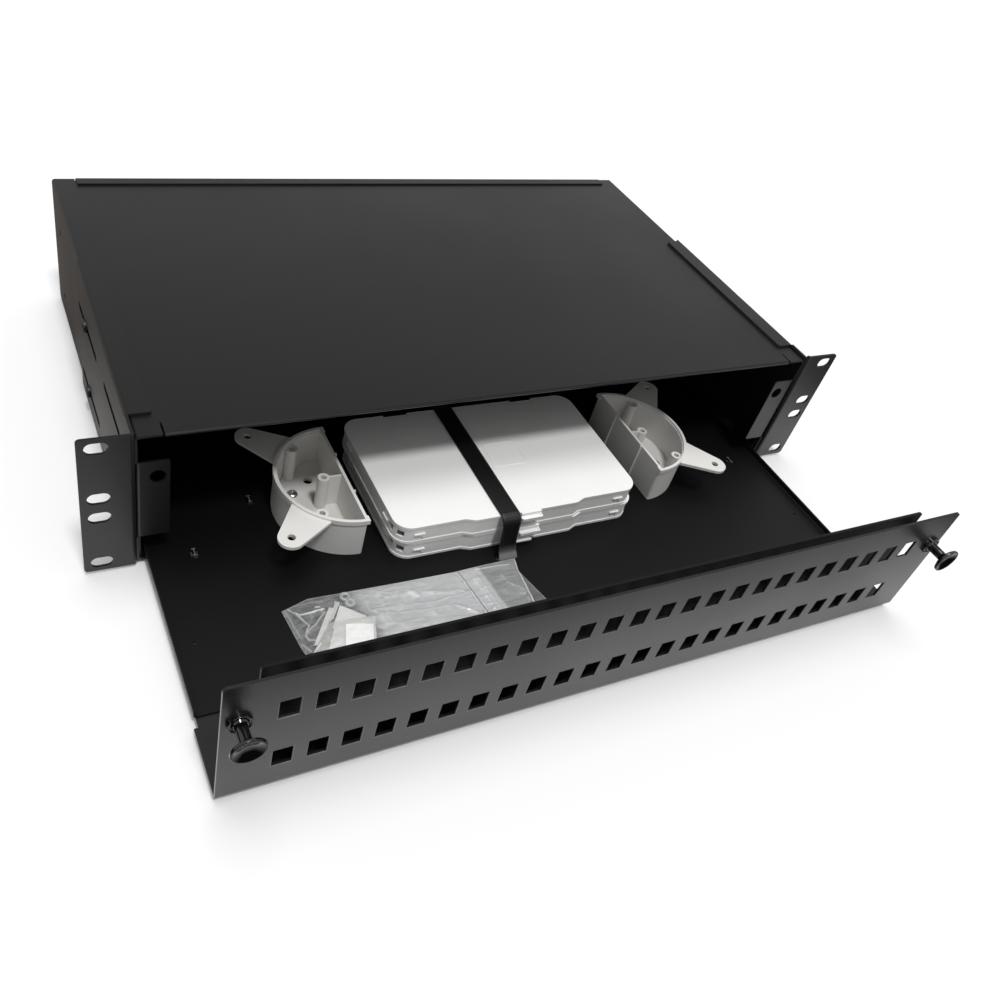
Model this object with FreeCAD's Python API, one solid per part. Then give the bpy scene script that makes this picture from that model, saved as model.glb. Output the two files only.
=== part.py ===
import FreeCAD, Part
import math
import os

os.makedirs("parts", exist_ok=True)
V = FreeCAD.Vector

# Sliding fibre patch drawer for a 19 inch rack, two height units, drawn out.
# X runs to the right, Y to the back, Z up; y = 0 is the front face of the rack ears.
# Heights are built up from the bottom of the ears, and each finished piece is then
# lowered by half the panel height, so the origin is the centre of the ears' slots.

# Rack ears
panel_width = 482.6
panel_height = 88.1
slot_span = 465.1
slot_rows_outer = 76.2
slot_rows_inner = 12.7
slot_length = 11.0
slot_width = 7.0
ear_corner = 2.0

# Brackets: ear, side plate and the two lips that wrap the case
bracket_sheet = 1.5
bracket_gap = 0.1
bracket_depth = 155.0
bracket_lip = 12.8
bracket_lip_front = 17.5
bracket_lip_rear = 1.5
bracket_lip_corner = 2.0
adjust_slot_width = 4.8
adjust_slot_high = 60.6
adjust_slot_low = 14.5
rear_slot_front = 95.5
rear_slot_end = 151.0
front_slot_front = 30.0
front_slot_end = 75.0

# Case: folded top shell and the pan with the rear wall
case_width = 430.4
case_height = 84.6
case_depth = 252.0
case_setback = 2.0
case_sheet = 1.2
bend_radius = 0.8
hem_height = 2.4
hem_depth = 9.0
hem_inset = 14.0
relief_width = 1.0
relief_depth = 9.0
rear_strip_inset = 13.9
rear_strip_depth = 8.5
rear_strip_gap = 0.5
pan_side_height = 27.0
tab_width = 16.5
tab_bottom = 17.9
tab_height = 50.4
tab_corner = 1.5
screw_y = 128.0
spare_hole_y = 230.0

# Bracket screws and clinch nuts
screw_radius = 2.0
screw_head_radius = 3.8
screw_head_height = 1.8
screw_recess_radius = 1.5
nut_radius = 3.8
nut_height = 2.0
thread_gap = 0.1

# Cable entries in the rear wall
entry_hole_radius = 12.5
entry_bore_radius = 9.0
entry_flange_radius = 16.0
entry_flange_thickness = 2.5
entry_gap = 0.1
entry_height = 44.0
entry_side_inset = 55.2
entry_pitch = 48.0

# Guide rails
rail_gap = 0.6
rail_ledge = 9.0
rail_height = 18.0
rail_front = 22.0
rail_stop_gap = 0.3

# Drawer: how far it stands out, its folded front and its ports
drawer_out = 142.5
front_reveal = 0.2
drawer_lift = 0.2
front_sheet = 1.5
front_side_gap = 3.0
front_top_gap = 2.3
front_corner = 2.0
flange_depth = 55.0
flange_narrow = 2.0
flange_notch_start = 36.0
port_count = 24
port_pitch = 16.0
port_width = 9.6
port_height = 12.7
port_row_low = 22.8
port_row_high = 58.9

# Blanking plate behind the ports
blank_inset = 18.0
blank_setback = 9.5
blank_top_gap = 5.3
blank_foot = 14.0
blank_corner = 1.5
rivet_radius = 1.6
rivet_head_radius = 3.2
rivet_head_height = 1.0
rivet_head_taper = 0.6
rivet_inset = 24.8
rivet_count = 5

# Tray
tray_sheet = 1.2
tray_side_gap = 4.0
tray_length = 200.0
tray_setback = 41.1
tray_lip = 4.7
tray_back_lip = 12.0
tray_back_inset = 2.7
lance_length = 4.4
lance_width = 2.0
lance_rise = 0.9
lance_front_inset = 24.2
lance_front_y = -3.0
lance_rear_inset = 63.0
lance_rear_y = 29.8
spare_hole_radius = 0.8
spare_inset = 10.6
spare_y = -60.5
glide_radius = 6.0
glide_stem_radius = 2.4
glide_gap = 0.1
glide_side_inset = 41.2
glide_inset = 25.0

# Fibre spools
spool_x = 99.6
spool_y = 14.6
spool_radius = 39.0
spool_height = 26.4
spool_wall = 1.7
spool_floor = 2.5
spool_corner = 1.5
spool_rim_height = 2.8
spool_rim_proud = 0.8
spool_ledge_depth = 1.2
spool_ledge_width = 0.6
spool_rib_offset = 15.6
spool_rib = 1.0
ear_hole_reach = 59.8
ear_angle = 43.0
ear_tip_radius = 7.3
ear_root_half = 11.8
ear_thickness = 1.9
ear_drop = 1.2
ear_hole_radius = 2.2
boss_radius = 3.4
boss_hole_radius = 1.7
boss_drop = 2.0
boss_centre_reach = 12.0
boss_side_reach = 22.0
boss_side_offset = 26.8
web_thickness = 1.1
spool_screw_reach = 24.5
spool_screw_offset = 11.5
spool_screw_radius = 1.5
spool_screw_head = 3.2
spool_screw_head_height = 1.8
floor_eye_reach = 12.0
floor_eye_offset = 21.0
floor_eye_radius = 2.8

# Splice cassettes
cassette_x = -5.0
cassette_y = 12.4
cassette_width = 162.0
cassette_depth = 94.0
cassette_corner = 10.0
cassette_floor = 1.6
cassette_height = 12.4
lid_thickness = 1.8
cassette_wall = 1.5
wall_inset = 0.4
brow_half_width = 34.0
brow_proud = 2.4
brow_slope = 6.0
hinge_notch_x = 45.0
hinge_notch_width = 16.0
hinge_notch_depth = 3.0
fibre_gate_width = 4.5
fibre_gate_height = 4.2
fibre_gate_sill = 4.4
fibre_gate_depth = 3.5
tongue_x = 1.6
tongue_width = 13.4
tongue_reach = 4.2
tongue_thickness = 1.4
tongue_drop = 2.5
guide_ring_radius = 25.0
guide_ring_x = 42.0
guide_wall = 1.4
guide_ring_gap = 1.0
guide_ring_open = 0.8
holder_length = 36.0
holder_width = 34.0
holder_height = 5.0
holder_groove_radius = 1.4
holder_grooves = 8
lower_cassette_shift = 2.0

# Strap
strap_offset = -13.0
strap_width = 12.0
strap_thickness = 1.2
strap_gap = 0.3
strap_foot = 11.5
strap_bend = 2.0
strap_slot_gap = 1.2
strap_shoulder = 0.72

# Push-pull latches
latch_inset = 10.6
latch_drop = 10.0
tab_hole_radius = 3.9
barrel_radius = 3.6
barrel_length = 8.0
barrel_slit = 0.8
stem_radius = 2.7
stem_gap = 0.06
stem_flutes = 4
flute_radius = 0.7
collar_flange_radius = 5.6
collar_flange = 1.8
collar_dish = 0.8
collar_rim = 1.0
collar_cone_radius = 3.9
collar_cone = 1.2
collar_lip = 0.6
collar_notch_radius = 1.3
head_radius = 7.7
head_thickness = 2.4
head_reach = 11.8
head_flare = 2.4
head_dish = 1.8
head_dish_floor = 2.0
head_dish_bend = 8.0
head_rim = 1.0
stem_tip_length = 4.0

# Bag of small parts on the tray
bag_left = -154.0
bag_right = -9.0
bag_back = -49.0
bag_front = -117.0
bag_film_height = 2.8
bag_height = 8.6
bag_gap = 0.3
bag_skew = 9.0
bag_lump_left = -148.0
bag_lump_right = -110.0
bag_lump_back = -57.0
bag_lump_front = -99.0

# Cutters pass through their sheet by this much
overcut = 1.0

# Places that follow from the sizes above
half_case = case_width / 2
wall_inner = half_case - case_sheet
pan_inner = wall_inner - case_sheet
case_rear = case_setback + case_depth
hem_half_width = half_case - hem_inset
rear_strip_half_width = half_case - rear_strip_inset
entry_outer_x = half_case - entry_side_inset
entry_inner_x = entry_outer_x - entry_pitch
latch_x = half_case - latch_inset
latch_z = tab_bottom + tab_height - latch_drop
tab_bend_end = case_setback + case_sheet + 2 * bend_radius
front_face = front_reveal - drawer_out
front_back = front_face + front_sheet
front_bottom = case_sheet + drawer_lift
front_top = case_height - front_top_gap
front_width = case_width - 2 * front_side_gap
flange_top = front_bottom + front_sheet
tray_bottom = flange_top
tray_top = tray_bottom + tray_sheet
tray_front = front_face + tray_setback
tray_rear = tray_front + tray_length
tray_width = case_width - 2 * tray_side_gap
tray_back_width = tray_width - 2 * tray_back_inset
lance_front_x = tray_width / 2 - lance_front_inset
lance_rear_x = tray_width / 2 - lance_rear_inset
spare_x = tray_width / 2 - spare_inset
glide_x = tray_width / 2 - glide_side_inset
blank_face = front_face + blank_setback
blank_back = blank_face + front_sheet
blank_top = front_top - blank_top_gap
blank_width = front_width - 2 * blank_inset
rivet_span = blank_width - 2 * rivet_inset
rail_bottom = tray_bottom + tray_lip + rail_gap
bracket_inner = half_case + bracket_gap
bracket_outer = bracket_inner + bracket_sheet
cassette_top = tray_top + 2 * cassette_height
strap_x = cassette_x + strap_offset


def block(x0, x1, y0, y1, z0, z1):
    """Box between two corners."""
    return Part.makeBox(x1 - x0, y1 - y0, z1 - z0, V(x0, y0, z0))


def rod(radius, start, end):
    """Round bar from one point to another."""
    axis = end - start
    return Part.makeCylinder(radius, axis.Length, start, axis)


def rounded_wire(points, radii):
    """Straight runs through the points, with a tangent arc at each corner."""
    count = len(points)
    if not isinstance(radii, (list, tuple)):
        radii = [radii] * count
    starts = []
    ends = []
    arcs = []
    for i in range(count):
        here = points[i]
        if radii[i] <= 0:
            starts.append(here)
            ends.append(here)
            arcs.append(None)
            continue
        back = (points[i - 1] - here).normalize()
        ahead = (points[(i + 1) % count] - here).normalize()
        half_angle = back.getAngle(ahead) / 2
        reach = radii[i] / math.tan(half_angle)
        bisector = (back + ahead).normalize()
        middle = here + bisector * (radii[i] / math.sin(half_angle) - radii[i])
        starts.append(here + back * reach)
        ends.append(here + ahead * reach)
        arcs.append(middle)
    edges = []
    for i in range(count):
        if arcs[i] is not None:
            edges.append(Part.Arc(starts[i], arcs[i], ends[i]).toShape())
        following = starts[(i + 1) % count]
        if (following - ends[i]).Length > 1e-6:
            edges.append(Part.LineSegment(ends[i], following).toShape())
    return Part.Wire(edges)


def plate(points, radii, rise):
    """Flat plate: a rounded outline pushed along a vector."""
    return Part.Face(rounded_wire(points, radii)).extrude(rise)


def flat(points, radii, z0, z1):
    """Plate with an outline in X and Y between two heights."""
    return plate([V(x, y, z0) for x, y in points], radii, V(0, 0, z1 - z0))


def upright(points, radii, y0, y1):
    """Plate with an outline in X and Z between two depths."""
    return plate([V(x, y0, z) for x, z in points], radii, V(0, y1 - y0, 0))


def sideways(points, radii, x0, x1):
    """Plate with an outline in Y and Z between two widths."""
    return plate([V(x0, y, z) for y, z in points], radii, V(x1 - x0, 0, 0))


def rectangle(u0, u1, v0, v1):
    return [(u0, v0), (u1, v0), (u1, v1), (u0, v1)]


def fold(profile, thickness, place, run):
    """Bent sheet: a path thickened to its left, or right if negative, and pushed along run."""
    count = len(profile)
    offsets = []
    for i in range(count):
        normals = []
        if i > 0:
            dx = profile[i][0] - profile[i - 1][0]
            dy = profile[i][1] - profile[i - 1][1]
            length = math.hypot(dx, dy)
            normals.append((-dy / length, dx / length))
        if i < count - 1:
            dx = profile[i + 1][0] - profile[i][0]
            dy = profile[i + 1][1] - profile[i][1]
            length = math.hypot(dx, dy)
            normals.append((-dy / length, dx / length))
        nx = sum(n[0] for n in normals)
        ny = sum(n[1] for n in normals)
        scale = thickness * len(normals) / (nx * nx + ny * ny)
        offsets.append((profile[i][0] + nx * scale, profile[i][1] + ny * scale))
    outline = list(profile) + offsets[::-1]
    radii = [0.0] * (2 * count)
    for i in range(1, count - 1):
        ax = profile[i][0] - profile[i - 1][0]
        ay = profile[i][1] - profile[i - 1][1]
        bx = profile[i + 1][0] - profile[i][0]
        by = profile[i + 1][1] - profile[i][1]
        turns_left = ax * by - ay * bx > 0
        outer = bend_radius + abs(thickness)
        path_is_outside = turns_left == (thickness > 0)
        radii[i] = outer if path_is_outside else bend_radius
        radii[2 * count - 1 - i] = bend_radius if path_is_outside else outer
    return plate([place(u, v) for u, v in outline], radii, run)


def mirrored(shape):
    """The same piece on the other side of the drawer."""
    return shape.mirror(V(0, 0, 0), V(1, 0, 0))


def both_sides(shape):
    return [shape, mirrored(shape)]


def save(name, shapes):
    """Lower a piece to the origin at the slots' centre and write it."""
    solids = []
    for shape in shapes if isinstance(shapes, list) else [shapes]:
        clean = shape.removeSplitter() if shape.ShapeType != "Solid" else shape
        for solid in clean.Solids:
            solid = solid.copy()
            solid.translate(V(0, 0, -panel_height / 2))
            if not solid.isValid() or solid.Volume < 0.1:
                print("bad solid in", name)
            solids.append(solid)
    whole = solids[0] if len(solids) == 1 else Part.makeCompound(solids)
    whole.exportStep("parts/" + name + ".step")


def slot_cutter(centre_x, centre_z, y0, y1):
    """Round-ended rack slot through an ear."""
    return upright(
        rectangle(
            centre_x - slot_length / 2,
            centre_x + slot_length / 2,
            centre_z - slot_width / 2,
            centre_z + slot_width / 2,
        ),
        slot_width / 2 - 0.001,
        y0,
        y1,
    )


def rack_bracket():
    """Right-hand bracket: ear with four slots, slotted side plate and two lips."""
    lip_inner = bracket_outer - bracket_lip
    top = case_height + bracket_gap + bracket_sheet
    # The wall's square lower edge clears the inside of the lower bend
    edge_room = math.sqrt(bend_radius ** 2 - (bend_radius - bracket_gap) ** 2)
    bottom = -(bend_radius - edge_room + bracket_gap) - bracket_sheet
    corner = bend_radius + bracket_sheet

    # Ear and side plate are one fold round the vertical edge
    angle = fold(
        [(bracket_inner, bracket_depth), (bracket_inner, 0.0), (panel_width / 2, 0.0)],
        bracket_sheet,
        lambda x, y: V(x, y, 0),
        V(0, 0, panel_height),
    )
    ear_mask = upright(
        rectangle(0, panel_width / 2, 0, panel_height),
        [0, ear_corner, ear_corner, 0],
        -overcut,
        bracket_sheet + bend_radius,
    )
    side_mask = block(0, panel_width / 2, bracket_sheet + bend_radius, bracket_depth, bottom, top)
    body = angle.common(ear_mask.fuse(side_mask))

    # The lips come from a channel folded round the top and bottom of the case
    channel = fold(
        [(lip_inner, bottom), (bracket_outer, bottom), (bracket_outer, top), (lip_inner, top)],
        bracket_sheet,
        lambda x, z: V(x, bracket_lip_front, z),
        V(0, bracket_depth - bracket_lip_front, 0),
    )
    side_below = block(
        bracket_inner, bracket_outer, bracket_sheet + bend_radius, bracket_depth, bottom + corner, overcut
    )
    lip_front = bracket_lip_front
    lip_rear = bracket_depth - bracket_lip_rear
    lip_keep = flat(
        rectangle(lip_inner, bracket_outer - corner, lip_front, lip_rear),
        [bracket_lip_corner, 0, 0, bracket_lip_corner],
        bottom - overcut,
        top + overcut,
    )
    side_keep = block(
        bracket_outer - corner, bracket_outer, lip_front, bracket_depth, bottom - overcut, top + overcut
    )
    channel = channel.common(lip_keep.fuse(side_keep))
    behind_fold = block(
        bracket_inner, bracket_outer, bracket_lip_front, bracket_depth, top - corner, panel_height
    )
    body = body.cut(behind_fold).fuse(side_below).fuse(channel)

    cutters = []
    for row in (slot_rows_outer, slot_rows_inner):
        for side in (-1, 1):
            height = panel_height / 2 + side * row / 2
            cutters.append(slot_cutter(slot_span / 2, height, -overcut, bracket_sheet + overcut))
    for height in (adjust_slot_high, adjust_slot_low):
        for start, end in ((rear_slot_front, rear_slot_end), (front_slot_front, front_slot_end)):
            cutters.append(
                sideways(
                    rectangle(
                        start, end, height - adjust_slot_width / 2, height + adjust_slot_width / 2
                    ),
                    adjust_slot_width / 2 - 0.001,
                    bracket_inner - overcut,
                    bracket_outer + overcut,
                )
            )
    return body.cut(cutters)


def latch_tab():
    """Right-hand tab bent in from the wall's front edge, with its latch hole."""
    inner = half_case - tab_width
    bent = fold(
        [(half_case, tab_bend_end), (half_case, case_setback), (inner, case_setback)],
        -case_sheet,
        lambda x, y: V(x, y, tab_bottom),
        V(0, 0, tab_height),
    )
    outline = upright(
        rectangle(inner, half_case, tab_bottom, tab_bottom + tab_height),
        [tab_corner, 0, 0, tab_corner],
        case_setback,
        tab_bend_end,
    )
    tab = bent.common(outline)
    hole = rod(
        tab_hole_radius,
        V(latch_x, case_setback - overcut, latch_z),
        V(latch_x, case_setback + case_sheet + overcut, latch_z),
    )
    return tab.cut(hole)


def housing_shell():
    """Top and both side walls in one folded sheet, with the hemmed front edge."""
    shell = fold(
        [
            (-half_case, 0.0),
            (-half_case, case_height),
            (half_case, case_height),
            (half_case, 0.0),
        ],
        -case_sheet,
        lambda x, z: V(x, case_setback, z),
        V(0, case_depth, 0),
    )
    # The sheet's front edge is turned back under itself between the relief slits
    square_edge = block(
        -hem_half_width,
        hem_half_width,
        case_setback - overcut,
        case_setback + case_sheet,
        case_height - hem_height,
        case_height + overcut,
    )
    turn = hem_height / 2 - 0.001
    hem = sideways(
        [
            (case_setback, case_height - hem_height),
            (case_setback + hem_depth, case_height - hem_height),
            (case_setback + hem_depth, case_height),
            (case_setback, case_height),
        ],
        [turn, 0, 0, turn],
        -hem_half_width,
        hem_half_width,
    )
    tab_root = block(
        wall_inner - overcut,
        half_case + overcut,
        case_setback - overcut,
        tab_bend_end,
        tab_bottom,
        tab_bottom + tab_height,
    )
    shell = shell.cut([square_edge] + both_sides(tab_root))
    shell = shell.fuse([hem] + both_sides(latch_tab()))
    cutters = []
    for relief in both_sides(
        block(
            hem_half_width,
            hem_half_width + relief_width,
            case_setback - overcut,
            case_setback + relief_depth,
            case_height - hem_height - overcut,
            case_height + overcut,
        )
    ):
        cutters.append(relief)
    strip_edge = rear_strip_half_width + rear_strip_gap
    cutters.append(
        block(
            -strip_edge,
            strip_edge,
            case_rear - case_sheet - bend_radius - rear_strip_gap,
            case_rear + overcut,
            case_height - case_sheet - overcut,
            case_height + overcut,
        )
    )
    for y in (screw_y, spare_hole_y):
        for z in (adjust_slot_high, adjust_slot_low):
            cutters.append(
                rod(
                    screw_radius + thread_gap,
                    V(-half_case - overcut, y, z),
                    V(half_case + overcut, y, z),
                )
            )
    return shell.cut(cutters)


def housing_pan():
    """Floor, side upstands, rear wall and the strip folded forward over the top."""
    upstand_front = case_setback + case_sheet + bend_radius
    floor = fold(
        [
            (-wall_inner, pan_side_height),
            (-wall_inner, 0.0),
            (wall_inner, 0.0),
            (wall_inner, pan_side_height),
        ],
        case_sheet,
        lambda x, z: V(x, case_setback, z),
        V(0, case_depth - case_sheet, 0),
    )
    clear_tabs = block(
        -half_case,
        half_case,
        case_setback - overcut,
        upstand_front,
        case_sheet + bend_radius,
        pan_side_height + overcut,
    )
    floor = floor.cut(clear_tabs)
    rear = upright(
        rectangle(-wall_inner, wall_inner, 0, case_height - case_sheet),
        [0, 0, 2 * bend_radius, 2 * bend_radius],
        case_rear - case_sheet,
        case_rear,
    )
    strip_front = case_rear - rear_strip_depth
    strip = fold(
        [
            (case_rear, case_height / 2),
            (case_rear, case_height + case_sheet),
            (strip_front, case_height + case_sheet),
        ],
        case_sheet,
        lambda y, z: V(-rear_strip_half_width, y, z),
        V(2 * rear_strip_half_width, 0, 0),
    )
    pan = floor.fuse([rear, strip])
    cutters = []
    for x in (-entry_outer_x, -entry_inner_x, entry_inner_x, entry_outer_x):
        cutters.append(
            rod(
                entry_hole_radius,
                V(x, case_rear - case_sheet - overcut, entry_height),
                V(x, case_rear + overcut, entry_height),
            )
        )
    for y in (screw_y, spare_hole_y):
        cutters.append(
            rod(
                screw_radius + thread_gap,
                V(-half_case - overcut, y, adjust_slot_low),
                V(half_case + overcut, y, adjust_slot_low),
            )
        )
    return pan.cut(cutters)


def guide_rail():
    """Right-hand angle whose ledge holds the tray's lip down; its rear end is the stop."""
    stop_face = tray_rear - tray_sheet
    return fold(
        [
            (pan_inner - rail_ledge, rail_bottom),
            (pan_inner, rail_bottom),
            (pan_inner, rail_bottom + rail_height),
        ],
        tray_sheet,
        lambda x, z: V(x, rail_front, z),
        V(0, stop_face - rail_stop_gap - rail_front, 0),
    )


def bracket_screws():
    """Pan-head screws through the bracket slots into the clinch nuts."""
    pieces = []
    head_seat = bracket_outer + bracket_gap
    for z in (adjust_slot_high, adjust_slot_low):
        tip = (wall_inner if z > pan_side_height else pan_inner) - nut_height
        shank = rod(screw_radius, V(tip, screw_y, z), V(head_seat, screw_y, z))
        head = rod(
            screw_head_radius, V(head_seat, screw_y, z), V(head_seat + screw_head_height, screw_y, z)
        )
        rim = [
            edge
            for edge in head.Edges
            if abs(edge.CenterOfMass.x - head_seat - screw_head_height) < 0.01
        ]
        head = head.makeFillet(screw_head_height * 0.45, rim)
        recess = rod(
            screw_recess_radius,
            V(head_seat + screw_head_height * 0.4, screw_y, z),
            V(head_seat + screw_head_height + overcut, screw_y, z),
        )
        pieces += both_sides(shank.fuse(head).cut(recess).removeSplitter())
    return pieces


def clinch_nuts():
    """Press nuts on the inner face of the walls, behind the bracket screws."""
    pieces = []
    for z in (adjust_slot_high, adjust_slot_low):
        seat = wall_inner if z > pan_side_height else pan_inner
        nut = rod(nut_radius, V(seat - nut_height, screw_y, z), V(seat, screw_y, z))
        thread = rod(
            screw_radius + thread_gap,
            V(seat - nut_height - overcut, screw_y, z),
            V(seat + overcut, screw_y, z),
        )
        pieces += both_sides(nut.cut(thread))
    return pieces


def cable_grommets():
    """Rubber rings snapped into the four rear cable entries."""
    outside = case_rear + entry_gap + entry_flange_thickness
    inside = case_rear - case_sheet - entry_gap - entry_flange_thickness
    groove = entry_hole_radius - entry_gap
    profile = [
        V(entry_bore_radius, 0, inside),
        V(entry_flange_radius, 0, inside),
        V(entry_flange_radius, 0, inside + entry_flange_thickness),
        V(groove, 0, inside + entry_flange_thickness),
        V(groove, 0, outside - entry_flange_thickness),
        V(entry_flange_radius, 0, outside - entry_flange_thickness),
        V(entry_flange_radius, 0, outside),
        V(entry_bore_radius, 0, outside),
    ]
    round_over = entry_flange_thickness * 0.4
    radii = [0, round_over, round_over, 0, 0, round_over, round_over, 0]
    ring = Part.Face(rounded_wire(profile, radii)).revolve(V(0, 0, 0), V(0, 0, 1), 360)
    ring.rotate(V(0, 0, 0), V(1, 0, 0), -90)
    pieces = []
    for x in (-entry_outer_x, -entry_inner_x, entry_inner_x, entry_outer_x):
        placed = ring.copy()
        placed.translate(V(x, 0, entry_height))
        pieces.append(placed)
    return pieces


def drawer_front():
    """Folded front: upright plate with two rows of ports and the flange under the tray."""
    half = front_width / 2
    front = fold(
        [
            (front_face, front_top),
            (front_face, front_bottom),
            (front_face + flange_depth, front_bottom),
        ],
        front_sheet,
        lambda y, z: V(-half, y, z),
        V(front_width, 0, 0),
    )
    corners = upright(
        rectangle(-half, half, front_bottom - overcut, front_top),
        [0, 0, front_corner, front_corner],
        front_face - overcut,
        front_face + flange_depth + overcut,
    )
    front = front.common(corners)
    cutters = both_sides(
        block(
            half - flange_narrow,
            half + overcut,
            front_face + flange_notch_start,
            front_face + flange_depth + overcut,
            front_bottom - overcut,
            flange_top + overcut,
        )
    )
    first = -(port_count - 1) / 2 * port_pitch
    for row in (port_row_low, port_row_high):
        for i in range(port_count):
            x = first + i * port_pitch
            cutters.append(
                block(
                    x - port_width / 2,
                    x + port_width / 2,
                    front_face - overcut,
                    front_back + overcut,
                    row - port_height / 2,
                    row + port_height / 2,
                )
            )
    for side in (-1, 1):
        cutters.append(
            rod(
                barrel_radius + stem_gap,
                V(side * latch_x, front_face - overcut, latch_z),
                V(side * latch_x, front_back + overcut, latch_z),
            )
        )
    for x in rivet_places():
        cutters.append(
            rod(
                rivet_radius + stem_gap,
                V(x, rivet_row(), front_bottom - overcut),
                V(x, rivet_row(), flange_top + overcut),
            )
        )
    return front.cut(cutters)


def rivet_places():
    step = rivet_span / (rivet_count - 1)
    return [-rivet_span / 2 + i * step for i in range(rivet_count)]


def rivet_row():
    return blank_back + (blank_foot - front_sheet) / 2 + bend_radius


def blanking_plate():
    """Plate that closes the ports from behind, standing on its own foot."""
    half = blank_width / 2
    body = fold(
        [
            (blank_face, blank_top),
            (blank_face, flange_top),
            (blank_back + blank_foot, flange_top),
        ],
        front_sheet,
        lambda y, z: V(-half, y, z),
        V(blank_width, 0, 0),
    )
    corners = upright(
        rectangle(-half, half, flange_top - overcut, blank_top),
        [0, 0, blank_corner, blank_corner],
        blank_face - overcut,
        blank_back + blank_foot + overcut,
    )
    body = body.common(corners)
    holes = [
        rod(
            rivet_radius + stem_gap,
            V(x, rivet_row(), flange_top - overcut),
            V(x, rivet_row(), flange_top + front_sheet + overcut),
        )
        for x in rivet_places()
    ]
    return body.cut(holes)


def blanking_rivets():
    """Blind rivets that hold the blanking plate's foot to the flange."""
    pieces = []
    seat = flange_top + front_sheet
    for x in rivet_places():
        shank = rod(rivet_radius, V(x, rivet_row(), front_bottom), V(x, rivet_row(), seat))
        dome_top = rivet_head_radius * rivet_head_taper
        dome = Part.makeCone(rivet_head_radius, dome_top, rivet_head_height, V(x, rivet_row(), seat))
        pieces.append(shank.fuse(dome).removeSplitter())
    return pieces


def strap_slot_front():
    return cassette_front() - strap_foot


def strap_slot_rear():
    return cassette_y + cassette_depth / 2 + strap_foot / 2


def cassette_front():
    return cassette_y - cassette_depth / 2


def tie_lance(x, y):
    """Slot and raised bridge for a cable tie, pressed out of the tray floor."""
    gap = block(
        x - lance_width / 2 - lance_rise,
        x + lance_width / 2 + lance_rise,
        y - lance_length / 2,
        y + lance_length / 2,
        tray_bottom - overcut,
        tray_top + overcut,
    )
    ends = lance_length / 2 + tray_sheet
    bridge = fold(
        [
            (y - ends, tray_bottom),
            (y - lance_length / 2, tray_bottom + lance_rise),
            (y + lance_length / 2, tray_bottom + lance_rise),
            (y + ends, tray_bottom),
        ],
        tray_sheet,
        lambda u, z: V(x - lance_width / 2, u, z),
        V(lance_width, 0, 0),
    )
    return gap, bridge


def drawer_tray():
    """Tray floor with side lips, rear lip, tie lances, strap slots and fixing holes."""
    half = tray_width / 2
    tray = fold(
        [
            (-half, tray_bottom + tray_lip),
            (-half, tray_bottom),
            (half, tray_bottom),
            (half, tray_bottom + tray_lip),
        ],
        tray_sheet,
        lambda x, z: V(x, tray_front, z),
        V(0, tray_length, 0),
    )
    back_half = tray_back_width / 2
    back = fold(
        [
            (tray_rear - tray_sheet - 3 * bend_radius, tray_bottom),
            (tray_rear, tray_bottom),
            (tray_rear, tray_bottom + tray_back_lip),
        ],
        tray_sheet,
        lambda y, z: V(-back_half, y, z),
        V(tray_back_width, 0, 0),
    )
    floor_end = block(
        -half,
        half,
        tray_rear - tray_sheet - bend_radius,
        tray_rear + overcut,
        tray_bottom - overcut,
        tray_top,
    )
    tray = tray.cut(floor_end).fuse(back)
    cutters = []
    bridges = []
    for x, y in ((lance_front_x, lance_front_y), (lance_rear_x, lance_rear_y)):
        for side in (-1, 1):
            gap, bridge = tie_lance(side * x, y)
            cutters.append(gap)
            bridges.append(bridge)
    for side in (-1, 1):
        cutters.append(
            rod(
                spare_hole_radius,
                V(side * spare_x, spare_y, tray_bottom - overcut),
                V(side * spare_x, spare_y, tray_top + overcut),
            )
        )
        for offset in (-spool_screw_offset, spool_screw_offset):
            x = side * (spool_x + spool_screw_reach)
            y = spool_y + offset
            cutters.append(
                rod(
                    spool_screw_radius + stem_gap,
                    V(x, y, tray_bottom - overcut),
                    V(x, y, tray_top + overcut),
                )
            )
        for y in glide_rows():
            x = side * glide_x
            cutters.append(
                rod(
                    glide_stem_radius + stem_gap,
                    V(x, y, tray_bottom - overcut),
                    V(x, y, tray_top + overcut),
                )
            )
    for y in (strap_slot_front(), strap_slot_rear()):
        cutters.append(
            block(
                strap_x - strap_width / 2 - strap_slot_gap,
                strap_x + strap_width / 2 + strap_slot_gap,
                y - strap_thickness - strap_slot_gap,
                y + strap_thickness + strap_slot_gap,
                tray_bottom - overcut,
                tray_top + overcut,
            )
        )
    return tray.cut(cutters).fuse(bridges)


def glide_rows():
    return (tray_front + flange_depth / 2 + glide_inset, tray_rear - glide_inset)


def glide_buttons():
    """Acetal buttons pressed into the tray floor from below; the drawer slides on them."""
    pieces = []
    for x in (-glide_x, glide_x):
        for y in glide_rows():
            foot = Part.makeCylinder(
                glide_radius, tray_bottom - case_sheet - glide_gap, V(x, y, case_sheet + glide_gap)
            )
            stem = rod(glide_stem_radius, V(x, y, tray_bottom), V(x, y, tray_top))
            pieces.append(foot.fuse(stem).removeSplitter())
    return pieces


def drum_outline(radius, flat_at):
    """Half-drum seen from above: arc to the right, straight wall at flat_at."""
    half = math.sqrt(radius * radius - flat_at * flat_at)
    arc = Part.Arc(V(flat_at, -half, 0), V(radius, 0, 0), V(flat_at, half, 0)).toShape()
    chord = Part.LineSegment(V(flat_at, half, 0), V(flat_at, -half, 0)).toShape()
    return Part.Face(Part.Wire([arc, chord]))


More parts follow.
